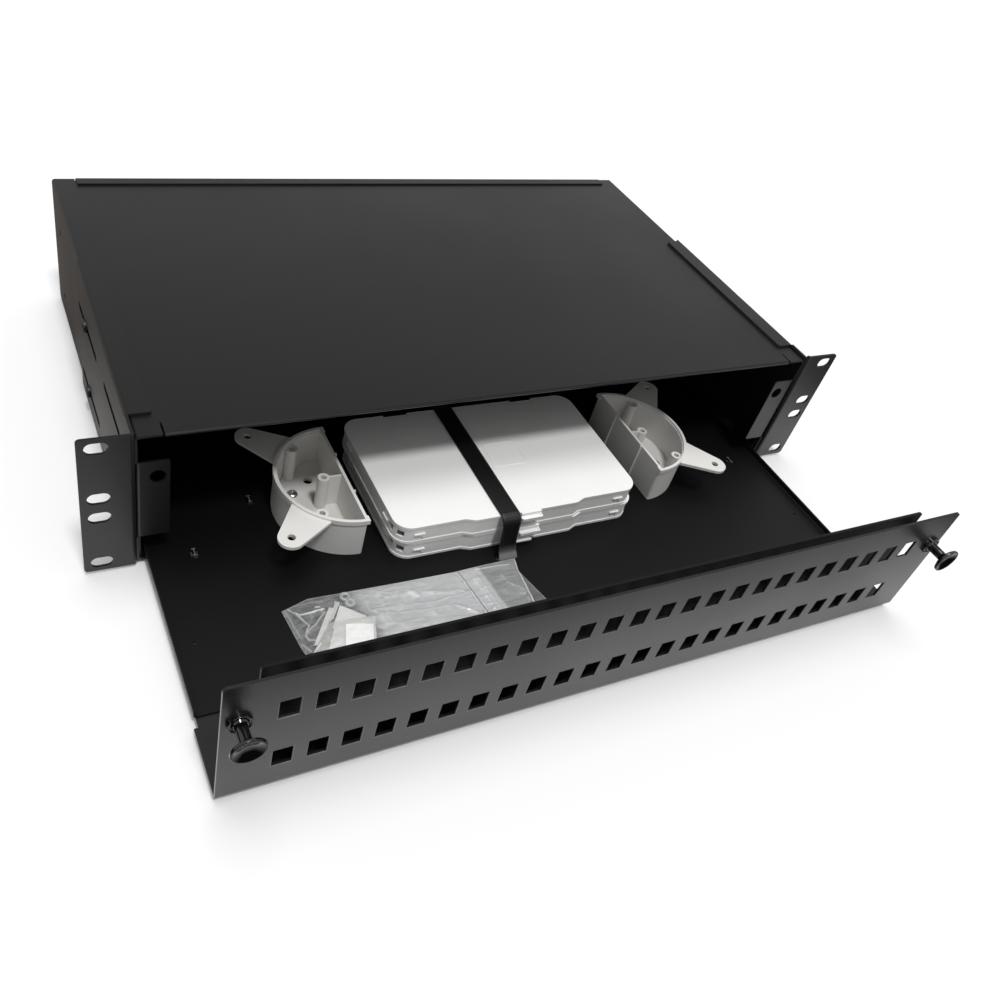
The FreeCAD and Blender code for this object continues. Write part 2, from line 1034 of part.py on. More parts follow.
def spool_ear(angle):
    """Mounting ear just under the rim's edge, tapering from the drum wall to a round tip."""
    root = spool_radius - spool_wall / 2
    slope = math.asin((ear_root_half - ear_tip_radius) / (ear_hole_reach - root))
    touch_x = ear_hole_reach + ear_tip_radius * math.sin(slope)
    touch_y = ear_tip_radius * math.cos(slope)
    root_half = touch_y + (touch_x - root) * math.tan(slope)
    tip = ear_hole_reach + ear_tip_radius
    low = spool_height - ear_drop - ear_thickness
    edges = [
        Part.LineSegment(V(root, -root_half, low), V(touch_x, -touch_y, low)).toShape(),
        Part.Arc(V(touch_x, -touch_y, low), V(tip, 0, low), V(touch_x, touch_y, low)).toShape(),
        Part.LineSegment(V(touch_x, touch_y, low), V(root, root_half, low)).toShape(),
        Part.LineSegment(V(root, root_half, low), V(root, -root_half, low)).toShape(),
    ]
    ear = Part.Face(Part.Wire(edges)).extrude(V(0, 0, ear_thickness))
    hole = rod(
        ear_hole_radius,
        V(ear_hole_reach, 0, low - overcut),
        V(ear_hole_reach, 0, spool_height + overcut),
    )
    ear = ear.cut(hole)
    ear.rotate(V(0, 0, 0), V(0, 0, 1), angle)
    return ear


def fibre_spool():
    """Right-hand half-drum: moulded cup with bosses, webs, two ears and a ribbed flat wall."""
    drum = drum_outline(spool_radius, 0.0).extrude(V(0, 0, spool_height))
    uprights = [
        edge
        for edge in drum.Edges
        if edge.BoundBox.ZLength > spool_height / 2 and abs(edge.CenterOfMass.y) > spool_radius / 2
    ]
    drum = drum.makeFillet(spool_corner, uprights)
    hollow = drum_outline(spool_radius - spool_wall, spool_wall)
    hollow.translate(V(0, 0, spool_floor))
    hollow = hollow.extrude(V(0, 0, spool_height))
    ledge_radius = spool_radius - spool_wall + spool_ledge_width
    ledge = drum_outline(ledge_radius, spool_wall)
    ledge.translate(V(0, 0, spool_height - spool_ledge_depth))
    ledge = ledge.extrude(V(0, 0, spool_ledge_depth + overcut))
    rim = drum_outline(spool_radius + spool_rim_proud, -spool_rim_proud)
    rim.translate(V(0, 0, spool_height - spool_rim_height))
    rim = rim.extrude(V(0, 0, spool_rim_height))
    flat_clear = block(
        -spool_radius,
        spool_corner,
        -spool_radius + 2 * spool_wall,
        spool_radius - 2 * spool_wall,
        0,
        spool_height + overcut,
    )
    body = drum.fuse(rim.cut(flat_clear)).cut([hollow, ledge])
    ears = [spool_ear(-ear_angle), spool_ear(ear_angle)]
    inside = drum_outline(spool_radius - spool_wall / 2, spool_wall / 2)
    inside = inside.extrude(V(0, 0, spool_height))
    ears = [ear.cut(inside) for ear in ears]

    boss_top = spool_height - boss_drop
    bosses = []
    boss_holes = []
    webs = []
    places = [(boss_centre_reach, 0.0)]
    places += [(boss_side_reach, -boss_side_offset), (boss_side_reach, boss_side_offset)]
    for x, y in places:
        bosses.append(Part.makeCylinder(boss_radius, boss_top, V(x, y, 0)))
        boss_holes.append(Part.makeCylinder(boss_hole_radius, spool_height, V(x, y, spool_floor)))
    webs.append(
        block(spool_wall / 2, boss_centre_reach, -web_thickness / 2, web_thickness / 2, 0, boss_top)
    )
    for side in (-1, 1):
        wall_reach = math.sqrt((spool_radius - spool_wall / 2) ** 2 - boss_side_reach ** 2)
        start = min(side * boss_side_offset, side * wall_reach)
        end = max(side * boss_side_offset, side * wall_reach)
        webs.append(
            block(
                boss_side_reach - web_thickness / 2,
                boss_side_reach + web_thickness / 2,
                start,
                end,
                0,
                boss_top,
            )
        )
        webs.append(
            block(
                -spool_rib,
                spool_wall / 2,
                side * spool_rib_offset - web_thickness / 2,
                side * spool_rib_offset + web_thickness / 2,
                0,
                spool_height,
            )
        )
    body = body.fuse(bosses + webs + ears)
    for side in (-1, 1):
        y = side * spool_screw_offset
        boss_holes.append(
            rod(
                spool_screw_radius + stem_gap,
                V(spool_screw_reach, y, -overcut),
                V(spool_screw_reach, y, spool_floor + overcut),
            )
        )
        y = side * floor_eye_offset
        boss_holes.append(
            rod(
                floor_eye_radius,
                V(floor_eye_reach, y, -overcut),
                V(floor_eye_reach, y, spool_floor + overcut),
            )
        )
    body = body.cut(boss_holes).removeSplitter()
    body.translate(V(spool_x, spool_y, tray_top))
    return body


def spool_screws():
    """Pan-head thread-forming screws through the spool floors into the tray."""
    pieces = []
    seat = tray_top + spool_floor
    tip = case_sheet + drawer_lift
    for side in (-1, 1):
        for offset in (-spool_screw_offset, spool_screw_offset):
            x = side * (spool_x + spool_screw_reach)
            y = spool_y + offset
            shank = rod(spool_screw_radius, V(x, y, tip + glide_gap), V(x, y, seat))
            head = rod(spool_screw_head, V(x, y, seat), V(x, y, seat + spool_screw_head_height))
            top = seat + spool_screw_head_height
            rim = [edge for edge in head.Edges if edge.CenterOfMass.z > top - 0.01]
            head = head.makeFillet(spool_screw_head_height * 0.4, rim)
            recess = rod(
                spool_screw_radius * 0.7,
                V(x, y, seat + spool_screw_head_height * 0.4),
                V(x, y, top + overcut),
            )
            pieces.append(shank.fuse(head).cut(recess).removeSplitter())
    return pieces


def cassette_outline(inset):
    """Corner-rounded outline whose front edge stands proud between two sloped steps."""
    half = cassette_width / 2 - inset
    front = -cassette_depth / 2 + inset
    back = cassette_depth / 2 - inset
    brow = brow_half_width
    proud = front - brow_proud
    points = [
        (-half, front),
        (-brow - brow_slope, front),
        (-brow, proud),
        (brow, proud),
        (brow + brow_slope, front),
        (half, front),
        (half, back),
        (-half, back),
    ]
    corner = cassette_corner - inset
    soft = brow_slope / 3
    radii = [corner, soft, soft, soft, soft, corner, corner, corner]
    return points, radii


def hinge_notches():
    """Cut-outs in the rear edge where the lid's hinge arms sit."""
    back = cassette_depth / 2
    return [
        block(
            side * hinge_notch_x - hinge_notch_width / 2,
            side * hinge_notch_x + hinge_notch_width / 2,
            back - hinge_notch_depth,
            back + overcut,
            -overcut,
            cassette_height + overcut,
        )
        for side in (-1, 1)
    ]


def fibre_gates(x, y):
    """Cutters for the openings in a corner: one through its middle and one beside it."""
    along_side = 0 if x > 0 else 180
    diagonal = math.degrees(math.atan2(math.copysign(1, y), math.copysign(1, x)))
    gates = []
    for angle in (along_side, diagonal):
        gate = block(
            cassette_corner - fibre_gate_depth,
            cassette_corner + overcut,
            -fibre_gate_width / 2,
            fibre_gate_width / 2,
            fibre_gate_sill,
            fibre_gate_sill + fibre_gate_height,
        )
        gate.rotate(V(0, 0, 0), V(0, 0, 1), angle)
        gate.translate(V(x, y, 0))
        gates.append(gate)
    return gates


def cassette_base():
    """Moulded splice tray: floor, set-back wall with fibre gates, and two guide rings."""
    wall_top = cassette_height - lid_thickness
    points, radii = cassette_outline(0.0)
    floor = flat(points, radii, 0, cassette_floor).cut(hinge_notches())
    wall_points, wall_radii = cassette_outline(wall_inset)
    inner_points, inner_radii = cassette_outline(wall_inset + cassette_wall)
    wall = flat(wall_points, wall_radii, 0, wall_top)
    wall = wall.cut(flat(inner_points, inner_radii, cassette_floor, wall_top + overcut))
    wall = wall.cut(hinge_notches())
    back = cassette_depth / 2
    screens = [
        block(
            side * hinge_notch_x - hinge_notch_width / 2 - cassette_wall,
            side * hinge_notch_x + hinge_notch_width / 2 + cassette_wall,
            back - hinge_notch_depth - cassette_wall,
            back - hinge_notch_depth,
            0,
            wall_top,
        )
        for side in (-1, 1)
    ]
    gates = []
    for side in (-1, 1):
        for end in (-1, 1):
            x = side * (cassette_width / 2 - cassette_corner)
            y = end * (cassette_depth / 2 - cassette_corner)
            gates += fibre_gates(x, y)
    wall = wall.cut(gates)
    rings = []
    for side in (-1, 1):
        x = side * guide_ring_x
        ring = Part.makeCylinder(guide_ring_radius, wall_top - guide_ring_gap, V(x, 0, 0))
        bore = Part.makeCylinder(
            guide_ring_radius - guide_wall, wall_top + overcut, V(x, 0, cassette_floor)
        )
        outer = x + side * (guide_ring_radius + overcut)
        keep = block(
            min(x, outer),
            max(x, outer),
            -guide_ring_radius * guide_ring_open,
            guide_ring_radius * guide_ring_open,
            0,
            wall_top,
        )
        rings.append(ring.cut(bore).common(keep))
    return floor.fuse([wall] + screens + rings)


def cassette_lid():
    """Flat lid with the same outline and a tongue at the front to lift it by."""
    low = cassette_height - lid_thickness
    points, radii = cassette_outline(0.0)
    lid = flat(points, radii, low, cassette_height).cut(hinge_notches())
    front = -cassette_depth / 2 - brow_proud
    tongue_top = cassette_height - tongue_drop
    left = tongue_x - tongue_width / 2
    right = tongue_x + tongue_width / 2
    root = block(left, right, front - tongue_thickness, front, tongue_top - tongue_thickness, low)
    lip = block(left, right, front - tongue_thickness, front + cassette_wall, low, cassette_height)
    tongue = block(
        left,
        right,
        front - tongue_reach,
        front - tongue_thickness,
        tongue_top - tongue_thickness,
        tongue_top,
    )
    return lid.fuse([root, lip, tongue])


def splice_holder():
    """Comb that grips the splice sleeves, standing on the cassette floor between the rings."""
    body = block(
        -holder_length / 2,
        holder_length / 2,
        -holder_width / 2,
        holder_width / 2,
        cassette_floor,
        cassette_floor + holder_height,
    )
    pitch = holder_width / holder_grooves
    grooves = []
    for i in range(holder_grooves):
        y = -holder_width / 2 + (i + 0.5) * pitch
        z = cassette_floor + holder_height
        grooves.append(
            rod(holder_groove_radius, V(-holder_length, y, z), V(holder_length, y, z))
        )
    return body.cut(grooves)


def in_stack(shape, level):
    """Put a cassette piece on the tray, or on the cassette below."""
    placed = shape.copy()
    shift = lower_cassette_shift if level == 0 else 0.0
    placed.translate(V(cassette_x + shift, cassette_y, tray_top + level * cassette_height))
    return placed


def cassette_strap():
    """Flat strap over the cassettes, down through the tray slots and back underneath."""
    top = cassette_top + strap_gap + strap_thickness
    low = tray_bottom - strap_gap
    front_edge = cassette_front() - brow_proud - strap_gap
    back_edge = cassette_y + cassette_depth / 2 + strap_gap
    half = strap_thickness / 2
    path = [
        (strap_slot_front() - half, low - strap_thickness),
        (strap_slot_front() - half, tray_top + strap_thickness),
        (front_edge - strap_thickness, cassette_top * strap_shoulder),
        (front_edge - strap_thickness, top),
        (back_edge + strap_thickness, top),
        (strap_slot_rear() + half, low - strap_thickness),
    ]
    outer = [V(strap_x - strap_width / 2, y, z) for y, z in path]
    inner = [V(strap_x - strap_width / 2, y, z) for y, z in inset_loop(path, strap_thickness)]
    outer_face = Part.Face(rounded_wire(outer, strap_bend)).extrude(V(strap_width, 0, 0))
    inner_face = Part.Face(rounded_wire(inner, strap_bend - strap_thickness)).extrude(
        V(strap_width + 2 * overcut, 0, 0)
    )
    inner_face.translate(V(-overcut, 0, 0))
    return outer_face.cut(inner_face)


def inset_loop(path, distance):
    """Closed outline moved inwards by a distance; the path runs clockwise."""
    count = len(path)
    inset = []
    for i in range(count):
        (ax, ay), (bx, by), (cx, cy) = path[i - 1], path[i], path[(i + 1) % count]
        first = (bx - ax, by - ay)
        second = (cx - bx, cy - by)
        first_length = math.hypot(*first)
        second_length = math.hypot(*second)
        nx = first[1] / first_length + second[1] / second_length
        ny = -first[0] / first_length - second[0] / second_length
        scale = distance * 2 / (nx * nx + ny * ny)
        inset.append((bx + nx * scale, by + ny * scale))
    return inset


def latch_grommet(side):
    """Split nylon collar with a dished, lobed flange, snapped through the front plate."""
    flange_front = front_face - collar_flange
    dish = flange_front + collar_dish
    mouth = dish - collar_cone
    tail = front_back + barrel_length
    profile = [
        V(stem_radius + stem_gap, mouth, 0),
        V(stem_radius + collar_lip, mouth, 0),
        V(collar_cone_radius, dish, 0),
        V(collar_flange_radius - collar_rim, dish, 0),
        V(collar_flange_radius - collar_rim, flange_front, 0),
        V(collar_flange_radius, flange_front, 0),
        V(collar_flange_radius, front_face, 0),
        V(barrel_radius, front_face, 0),
        V(barrel_radius, tail, 0),
        V(stem_radius + stem_gap, tail, 0),
    ]
    soft = collar_rim * 0.4
    radii = [0, 0, 0, soft, soft, soft, 0, 0, 0, 0]
    collar = Part.Face(rounded_wire(profile, radii)).revolve(V(0, 0, 0), V(0, 1, 0), 360)
    wide = barrel_radius + overcut
    slit_start = front_back + bend_radius
    half_slit = barrel_slit / 2
    cutters = [
        block(-half_slit, half_slit, slit_start, tail + overcut, -wide, wide),
        block(-wide, wide, slit_start, tail + overcut, -half_slit, half_slit),
    ]
    for quarter in range(4):
        angle = math.radians(45 + 90 * quarter)
        cx = (collar_flange_radius + collar_notch_radius / 2) * math.cos(angle)
        cz = (collar_flange_radius + collar_notch_radius / 2) * math.sin(angle)
        cutters.append(rod(collar_notch_radius, V(cx, mouth, cz), V(cx, front_face, cz)))
    collar = collar.cut(cutters).Solids[0]
    collar.translate(V(side * latch_x, 0, latch_z))
    return collar


def latch_plunger(side):
    """Push-pull plunger: dished head, flared neck and a fluted stem, drawn out by its travel."""
    head_back = front_face - head_reach
    head_front = head_back - head_thickness
    tip = front_back + stem_tip_length
    profile = [
        V(0, head_front + head_dish, 0),
        V(head_dish_floor, head_front + head_dish, 0),
        V(head_radius - head_rim, head_front, 0),
        V(head_radius, head_front, 0),
        V(head_radius, head_back - head_rim, 0),
        V(stem_radius + head_flare + head_rim, head_back, 0),
        V(stem_radius, head_back, 0),
        V(stem_radius, tip, 0),
        V(0, tip, 0),
    ]
    soft = head_rim * 0.4
    radii = [0, head_dish_bend, soft, soft, soft, 0, head_flare, stem_radius / 2, 0]
    plunger = Part.Face(rounded_wire(profile, radii)).revolve(V(0, 0, 0), V(0, 1, 0), 360)
    flutes = []
    for i in range(stem_flutes):
        angle = 2 * math.pi * i / stem_flutes
        cx = (stem_radius + flute_radius / 3) * math.cos(angle)
        cz = (stem_radius + flute_radius / 3) * math.sin(angle)
        flutes.append(rod(flute_radius, V(cx, head_back + head_flare, cz), V(cx, tip + overcut, cz)))
    plunger = plunger.Solids[0].cut(flutes).Solids[0]
    plunger.translate(V(side * latch_x, 0, latch_z))
    return plunger


def accessory_bag():
    """Soft bag lying flat on the tray, with a hump over the small parts in it."""
    low = tray_top + bag_gap
    points = [
        (bag_left, bag_back - bag_skew),
        (bag_left + 2 * bag_skew, bag_back),
        (bag_right - bag_skew, bag_back),
        (bag_right, bag_back - 3 * bag_skew),
        (bag_right, bag_front),
        (bag_left + bag_skew, bag_front),
    ]
    film = flat(points, bag_skew / 2, low, low + bag_film_height)
    film = film.makeFillet(bag_film_height / 3, top_edges(film))
    lump_points = [
        (bag_lump_left, bag_lump_front),
        (bag_lump_left + bag_skew, bag_lump_back),
        (bag_lump_right, bag_lump_back - bag_skew),
        (bag_lump_right, bag_lump_front),
    ]
    lump = flat(lump_points, bag_skew / 2, low, low + bag_height)
    lump = lump.makeFillet(bag_height / 3, top_edges(lump))
    return film.fuse(lump)


def top_edges(shape):
    """Edges round the upper face."""
    return [edge for edge in shape.Edges if edge.BoundBox.ZMin > shape.BoundBox.ZMax - 0.01]


spool_right = fibre_spool()
base = cassette_base()
lid = cassette_lid()
holder = splice_holder()
right_bracket = rack_bracket()
right_rail = guide_rail()

save("housing_shell", housing_shell())
save("housing_pan", housing_pan())
save("guide_rail_right", right_rail)
save("guide_rail_left", mirrored(right_rail))
save("rack_bracket_right", right_bracket)
save("rack_bracket_left", mirrored(right_bracket))
save("bracket_screws", bracket_screws())
save("clinch_nuts", clinch_nuts())
save("cable_grommets", cable_grommets())
save("drawer_front", drawer_front())
save("blanking_plate", blanking_plate())
save("blanking_rivets", blanking_rivets())
save("drawer_tray", drawer_tray())
save("glide_buttons", glide_buttons())
save("spool_right", spool_right)
save("spool_left", mirrored(spool_right))
save("spool_screws", spool_screws())
for level, name in enumerate(("lower", "upper")):
    save("cassette_base_" + name, in_stack(base, level))
    save("cassette_lid_" + name, in_stack(lid, level))
    save("splice_holder_" + name, in_stack(holder, level))
save("cassette_strap", cassette_strap())
for side, name in ((-1, "left"), (1, "right")):
    save("latch_grommet_" + name, latch_grommet(side))
    save("latch_plunger_" + name, latch_plunger(side))
save("accessory_bag", accessory_bag())
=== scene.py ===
import bpy
import bmesh
import math
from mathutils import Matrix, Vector, noise


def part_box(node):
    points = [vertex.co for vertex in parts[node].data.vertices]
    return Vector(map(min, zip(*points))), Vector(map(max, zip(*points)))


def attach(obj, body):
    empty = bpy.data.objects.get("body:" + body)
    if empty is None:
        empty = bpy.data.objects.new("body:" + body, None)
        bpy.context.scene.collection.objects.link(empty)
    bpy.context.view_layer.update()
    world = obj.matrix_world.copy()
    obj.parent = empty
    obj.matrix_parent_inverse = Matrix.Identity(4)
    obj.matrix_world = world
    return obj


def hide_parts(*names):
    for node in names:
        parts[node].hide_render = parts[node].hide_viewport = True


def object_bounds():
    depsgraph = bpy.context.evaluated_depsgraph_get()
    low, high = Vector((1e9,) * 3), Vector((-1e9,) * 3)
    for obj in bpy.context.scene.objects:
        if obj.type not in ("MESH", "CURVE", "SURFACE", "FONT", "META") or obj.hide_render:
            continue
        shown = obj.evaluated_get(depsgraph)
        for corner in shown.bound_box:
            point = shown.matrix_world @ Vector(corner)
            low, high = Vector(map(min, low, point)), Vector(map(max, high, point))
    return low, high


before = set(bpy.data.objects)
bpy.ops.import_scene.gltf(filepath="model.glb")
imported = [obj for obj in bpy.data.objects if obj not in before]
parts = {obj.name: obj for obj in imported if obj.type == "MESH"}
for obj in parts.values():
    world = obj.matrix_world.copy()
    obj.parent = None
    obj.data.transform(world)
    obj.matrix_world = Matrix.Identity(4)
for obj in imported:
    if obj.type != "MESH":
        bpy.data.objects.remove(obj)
cad_box = [list(corner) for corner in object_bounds()]


# Camera
# A hand-held look down into the open drawer from its front left corner. The place, turn and
# lens were worked out from the rack slots, whose spacing is standard.
camera_data = bpy.data.cameras.new("front_left_camera")
camera = bpy.data.objects.new("front_left_camera", camera_data)
bpy.context.scene.collection.objects.link(camera)
camera.location = (-0.27873, -0.33996, 0.3405)
camera.rotation_euler = [math.radians(turn) for turn in (47.552, -12.256, -25.169)]
camera_data.sensor_width = 36.0
camera_data.lens = 33.764
camera_data.shift_x = 0.0418
camera_data.shift_y = -0.0089
camera_data.clip_start = 0.01
bpy.context.scene.camera = camera


# Studio
# White table top under two lamps. The key leans to the front, so that the case throws its
# shadow over the rear half of the cassettes. A weaker ceiling lamp leans a little the other
# way and lays a short soft shadow before the drawer front. The room gives a weak fill.
def srgb(code):
    """Hex colour as linear red, green, blue and alpha."""
    channels = [int(code[i : i + 2], 16) / 255 for i in (0, 2, 4)]
    linear = [c / 12.92 if c <= 0.04045 else ((c + 0.055) / 1.055) ** 2.4 for c in channels]
    return (*linear, 1.0)


def add(tree, kind, inputs=None, **settings):
    """Node with its settings; an input takes a value, or (node, output) for a link."""
    made = tree.nodes.new(kind)
    for key, value in settings.items():
        setattr(made, key, value)
    for key, value in (inputs or {}).items():
        if isinstance(value, tuple) and isinstance(value[0], bpy.types.Node):
            tree.links.new(value[0].outputs[value[1]], made.inputs[key])
        else:
            made.inputs[key].default_value = value
    return made


def empty_material(name):
    """Material with an empty node tree, and that tree."""
    material = bpy.data.materials.new(name)
    material.use_nodes = True
    material.node_tree.nodes.clear()
    return material, material.node_tree


scene = bpy.context.scene
scene.view_settings.view_transform = "Standard"

room = bpy.data.worlds.new("soft_room")
room.use_nodes = True
room.node_tree.nodes.clear()
rays = add(room.node_tree, "ShaderNodeLightPath")
fill = add(room.node_tree, "ShaderNodeBackground", {"Color": srgb("FFFFFF"), "Strength": 0.44})
white = add(room.node_tree, "ShaderNodeBackground", {"Color": srgb("FFFFFF"), "Strength": 1.0})
# The camera, and what mirrors the room or is looked through, sees it white
mirrored = add(
    room.node_tree,
    "ShaderNodeMath",
    {0: (rays, "Is Glossy Ray"), 1: (rays, "Is Transmission Ray")},
    operation="MAXIMUM",
)
looked = add(
    room.node_tree,
    "ShaderNodeMath",
    {0: (rays, "Is Camera Ray"), 1: (mirrored, 0)},
    operation="MAXIMUM",
)
seen = add(room.node_tree, "ShaderNodeMixShader", {0: (looked, 0), 1: (fill, 0), 2: (white, 0)})
add(room.node_tree, "ShaderNodeOutputWorld", {"Surface": (seen, 0)})
scene.world = room

for name, energy, spread, lean in (
    ("key_softbox", 1.5, 9.0, 22.0),
    ("ceiling_softbox", 1.05, 30.0, -7.0),
):
    lamp_data = bpy.data.lights.new(name, "SUN")
    lamp_data.energy = energy
    lamp_data.angle = math.radians(spread)
    lamp = bpy.data.objects.new(name, lamp_data)
    lamp.rotation_euler = (math.radians(lean), 0.0, 0.0)
    scene.collection.objects.link(lamp)

table_level = cad_box[0][2]
table_half = 3.0
table_mesh = bpy.data.meshes.new("table_top")
table_corners = ((-1, -1), (1, -1), (1, 1), (-1, 1))
table_mesh.from_pydata(
    [(side * table_half, end * table_half, table_level) for side, end in table_corners],
    [],
    [(0, 1, 2, 3)],
)
table = bpy.data.objects.new("table_top", table_mesh)
scene.collection.objects.link(table)
# For bounced and mirrored light the laminate is white round the object and darkens away from it as
# a painted dim room, which the folded front mirrors. Along the left wall it carries a painted
# shade of the case, which that wall mirrors. The camera sees it white all over.
white_margin = 0.04
fade_width = 0.075
shade_edge = 0.02
shade_length = 0.22
wall_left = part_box("housing_shell")[0][0]
laminate, tree = empty_material("white_laminate")
rays = add(tree, "ShaderNodeLightPath")
place = add(tree, "ShaderNodeTexCoord")
centred = add(
    tree,
    "ShaderNodeMapping",
    {
        "Vector": (place, "Object"),
        "Location": (-white_margin / 2, -(cad_box[0][1] + cad_box[1][1]) / 2, 0.0),
    },
)
across = add(tree, "ShaderNodeSeparateXYZ", {0: (centred, 0)})
white_halves = {
    "X": cad_box[1][0] + white_margin / 2,
    "Y": (cad_box[1][1] - cad_box[0][1]) / 2,
}
outside = []
for axis, half in white_halves.items():
    off = add(tree, "ShaderNodeMath", {0: (across, axis)}, operation="ABSOLUTE")
    off = add(tree, "ShaderNodeMath", {0: (off, 0), 1: half}, operation="SUBTRACT")
    outside.append((off, 0))
away = add(tree, "ShaderNodeMath", dict(enumerate(outside)), operation="MAXIMUM")
edge = add(tree, "ShaderNodeMapRange", {"Value": (away, 0), "From Max": fade_width})
# Painted dim room: the bounced laminate darkens away from the object
painted_dimming = add(
    tree,
    "ShaderNodeMixRGB",
    {"Fac": (edge, 0), "Color1": srgb("F8F8F8"), "Color2": srgb("262626")},
)
on_table = add(tree, "ShaderNodeSeparateXYZ", {0: (place, "Object")})
# Painted shade of the case along its left wall
by_wall = add(
    tree,
    "ShaderNodeMapRange",
    {"Value": (on_table, "X"), "From Min": wall_left + shade_edge, "From Max": wall_left},
)
along_wall = add(tree, "ShaderNodeMapRange", {"Value": (on_table, "Y"), "From Max": shade_length})
painted_wall_shade = add(tree, "ShaderNodeMath", {0: (by_wall, 0), 1: (along_wall, 0)}, operation="MULTIPLY")
painted_dimming = add(
    tree, "ShaderNodeMixRGB", {"Fac": (painted_wall_shade, 0), "Color1": (painted_dimming, 0), "Color2": srgb("7C7672")}
)
seen = add(tree, "ShaderNodeBsdfDiffuse", {"Color": srgb("EEEEEE")})
bounced = add(tree, "ShaderNodeBsdfDiffuse", {"Color": (painted_dimming, 0)})
glow = add(tree, "ShaderNodeEmission", {"Color": srgb("FFFFFF"), "Strength": 0.03})
lifted = add(tree, "ShaderNodeAddShader", {0: (seen, 0), 1: (glow, 0)})
board = add(
    tree, "ShaderNodeMixShader", {0: (rays, "Is Camera Ray"), 1: (bounced, 0), 2: (lifted, 0)}
)
add(tree, "ShaderNodeOutputMaterial", {"Surface": (board, 0)})
table_mesh.materials.append(laminate)


# Case
# The shell, the pan and the two guide rails are 1.2 mm steel sheet, laser cut, folded, spot
# welded and powder coated. The baked powder is satin black with a fine orange peel.
def dress(names, material):
    """Give CAD pieces their finish."""
    for name in names:
        for slot in parts[name].material_slots:
            slot.material = material


def powder_coat(name, colour, upright, lying):
    """Baked powder: a 0.6 mm grain over a 4 mm orange peel, with slow shifts in tone.

    Upright faces and faces that look up each have their own roughness and sheen.
    """
    material, tree = empty_material(name)
    place = add(tree, "ShaderNodeTexCoord")
    grain = add(
        tree,
        "ShaderNodeTexNoise",
        {"Vector": (place, "Object"), "Scale": 1600.0, "Detail": 2.0, "Roughness": 0.6},
    )
    peel = add(
        tree, "ShaderNodeTexNoise", {"Vector": (place, "Object"), "Scale": 250.0, "Detail": 1.0}
    )
    drift = add(
        tree, "ShaderNodeTexNoise", {"Vector": (place, "Object"), "Scale": 9.0, "Detail": 3.0}
    )
    base = srgb(colour)
    tone = add(
        tree,
        "ShaderNodeMixRGB",
        {
            "Fac": (drift, "Fac"),
            "Color1": tuple(0.8 * c for c in base[:3]) + (1.0,),
            "Color2": tuple(1.2 * c for c in base[:3]) + (1.0,),
        },
    )
    gloss = add(
        tree,
        "ShaderNodeMapRange",
        {
            "Value": (drift, "Fac"),
            "From Min": 0.3,
            "From Max": 0.7,
            "To Min": -0.06,
            "To Max": 0.06,
        },
    )
    surface = add(tree, "ShaderNodeNewGeometry")
    facing = add(tree, "ShaderNodeSeparateXYZ", {0: (surface, "Normal")})
    smooth, sheen = (
        add(
            tree,
            "ShaderNodeMapRange",
            {
                "Value": (facing, "Z"),
                "From Min": 0.4,
                "From Max": 0.8,
                "To Min": on_upright,
                "To Max": on_lying,
            },
        )
        for on_upright, on_lying in zip(upright, lying)
    )
    rough = add(tree, "ShaderNodeMath", {0: (smooth, 0), 1: (gloss, 0)}, operation="ADD")
    relief = add(tree, "ShaderNodeMath", {0: (grain, "Fac"), 1: (peel, "Fac")}, operation="ADD")
    bump = add(
        tree, "ShaderNodeBump", {"Strength": 0.2, "Distance": 0.00014, "Height": (relief, 0)}
    )
    coat = add(
        tree,
        "ShaderNodeBsdfPrincipled",
        {
            "Base Color": (tone, 0),
            "Roughness": (rough, 0),
            "Specular IOR Level": (sheen, 0),
            "Normal": (bump, 0),
        },
    )
    add(tree, "ShaderNodeOutputMaterial", {"Surface": (coat, 0)})
    return material


satin_black = powder_coat("satin_black_powder_coat", "111112", (0.38, 0.57), (0.38, 0.14))
dress(["housing_shell", "housing_pan", "guide_rail_left", "guide_rail_right"], satin_black)


# Rack brackets
# 1.5 mm steel, folded into an ear, a slotted side plate and two lips that wrap the case.
# They are coated with the same powder in another batch, which came out a touch warmer. Their
# lips lie on the cover and match it.
warm_black = powder_coat("warm_black_powder_coat", "121211", (0.43, 0.64), (0.38, 0.14))
dress(["rack_bracket_left", "rack_bracket_right"], warm_black)


# Bracket screws and clinch nuts
# Black zinc plated steel screws hold each bracket through its slots. They turn into press
# nuts of bright zinc steel on the inside of the walls.
def plated_steel(name, colour, roughness):
    """Zinc plate: tiny crystals, drawn 0.7 mm wide to show, that shift the gloss."""
    material, tree = empty_material(name)
    place = add(tree, "ShaderNodeTexCoord")
    crystals = add(tree, "ShaderNodeTexVoronoi", {"Vector": (place, "Object"), "Scale": 1400.0})
    gloss = add(
        tree,
        "ShaderNodeMapRange",
        {"Value": (crystals, "Distance"), "To Min": roughness - 0.08, "To Max": roughness + 0.1},
    )
    bump = add(
        tree,
        "ShaderNodeBump",
        {"Strength": 0.15, "Distance": 0.0001, "Height": (crystals, "Distance")},
    )
    steel = add(
        tree,
        "ShaderNodeBsdfPrincipled",
        {
            "Base Color": srgb(colour),
            "Metallic": 1.0,
            "Roughness": (gloss, 0),
            "Normal": (bump, 0),
        },
    )
    add(tree, "ShaderNodeOutputMaterial", {"Surface": (steel, 0)})
    return material


black_zinc = plated_steel("black_zinc_plate", "3A3A3C", 0.38)
bright_zinc = plated_steel("bright_zinc_plate", "C4C6C8", 0.3)
dress(["bracket_screws"], black_zinc)
dress(["clinch_nuts"], bright_zinc)


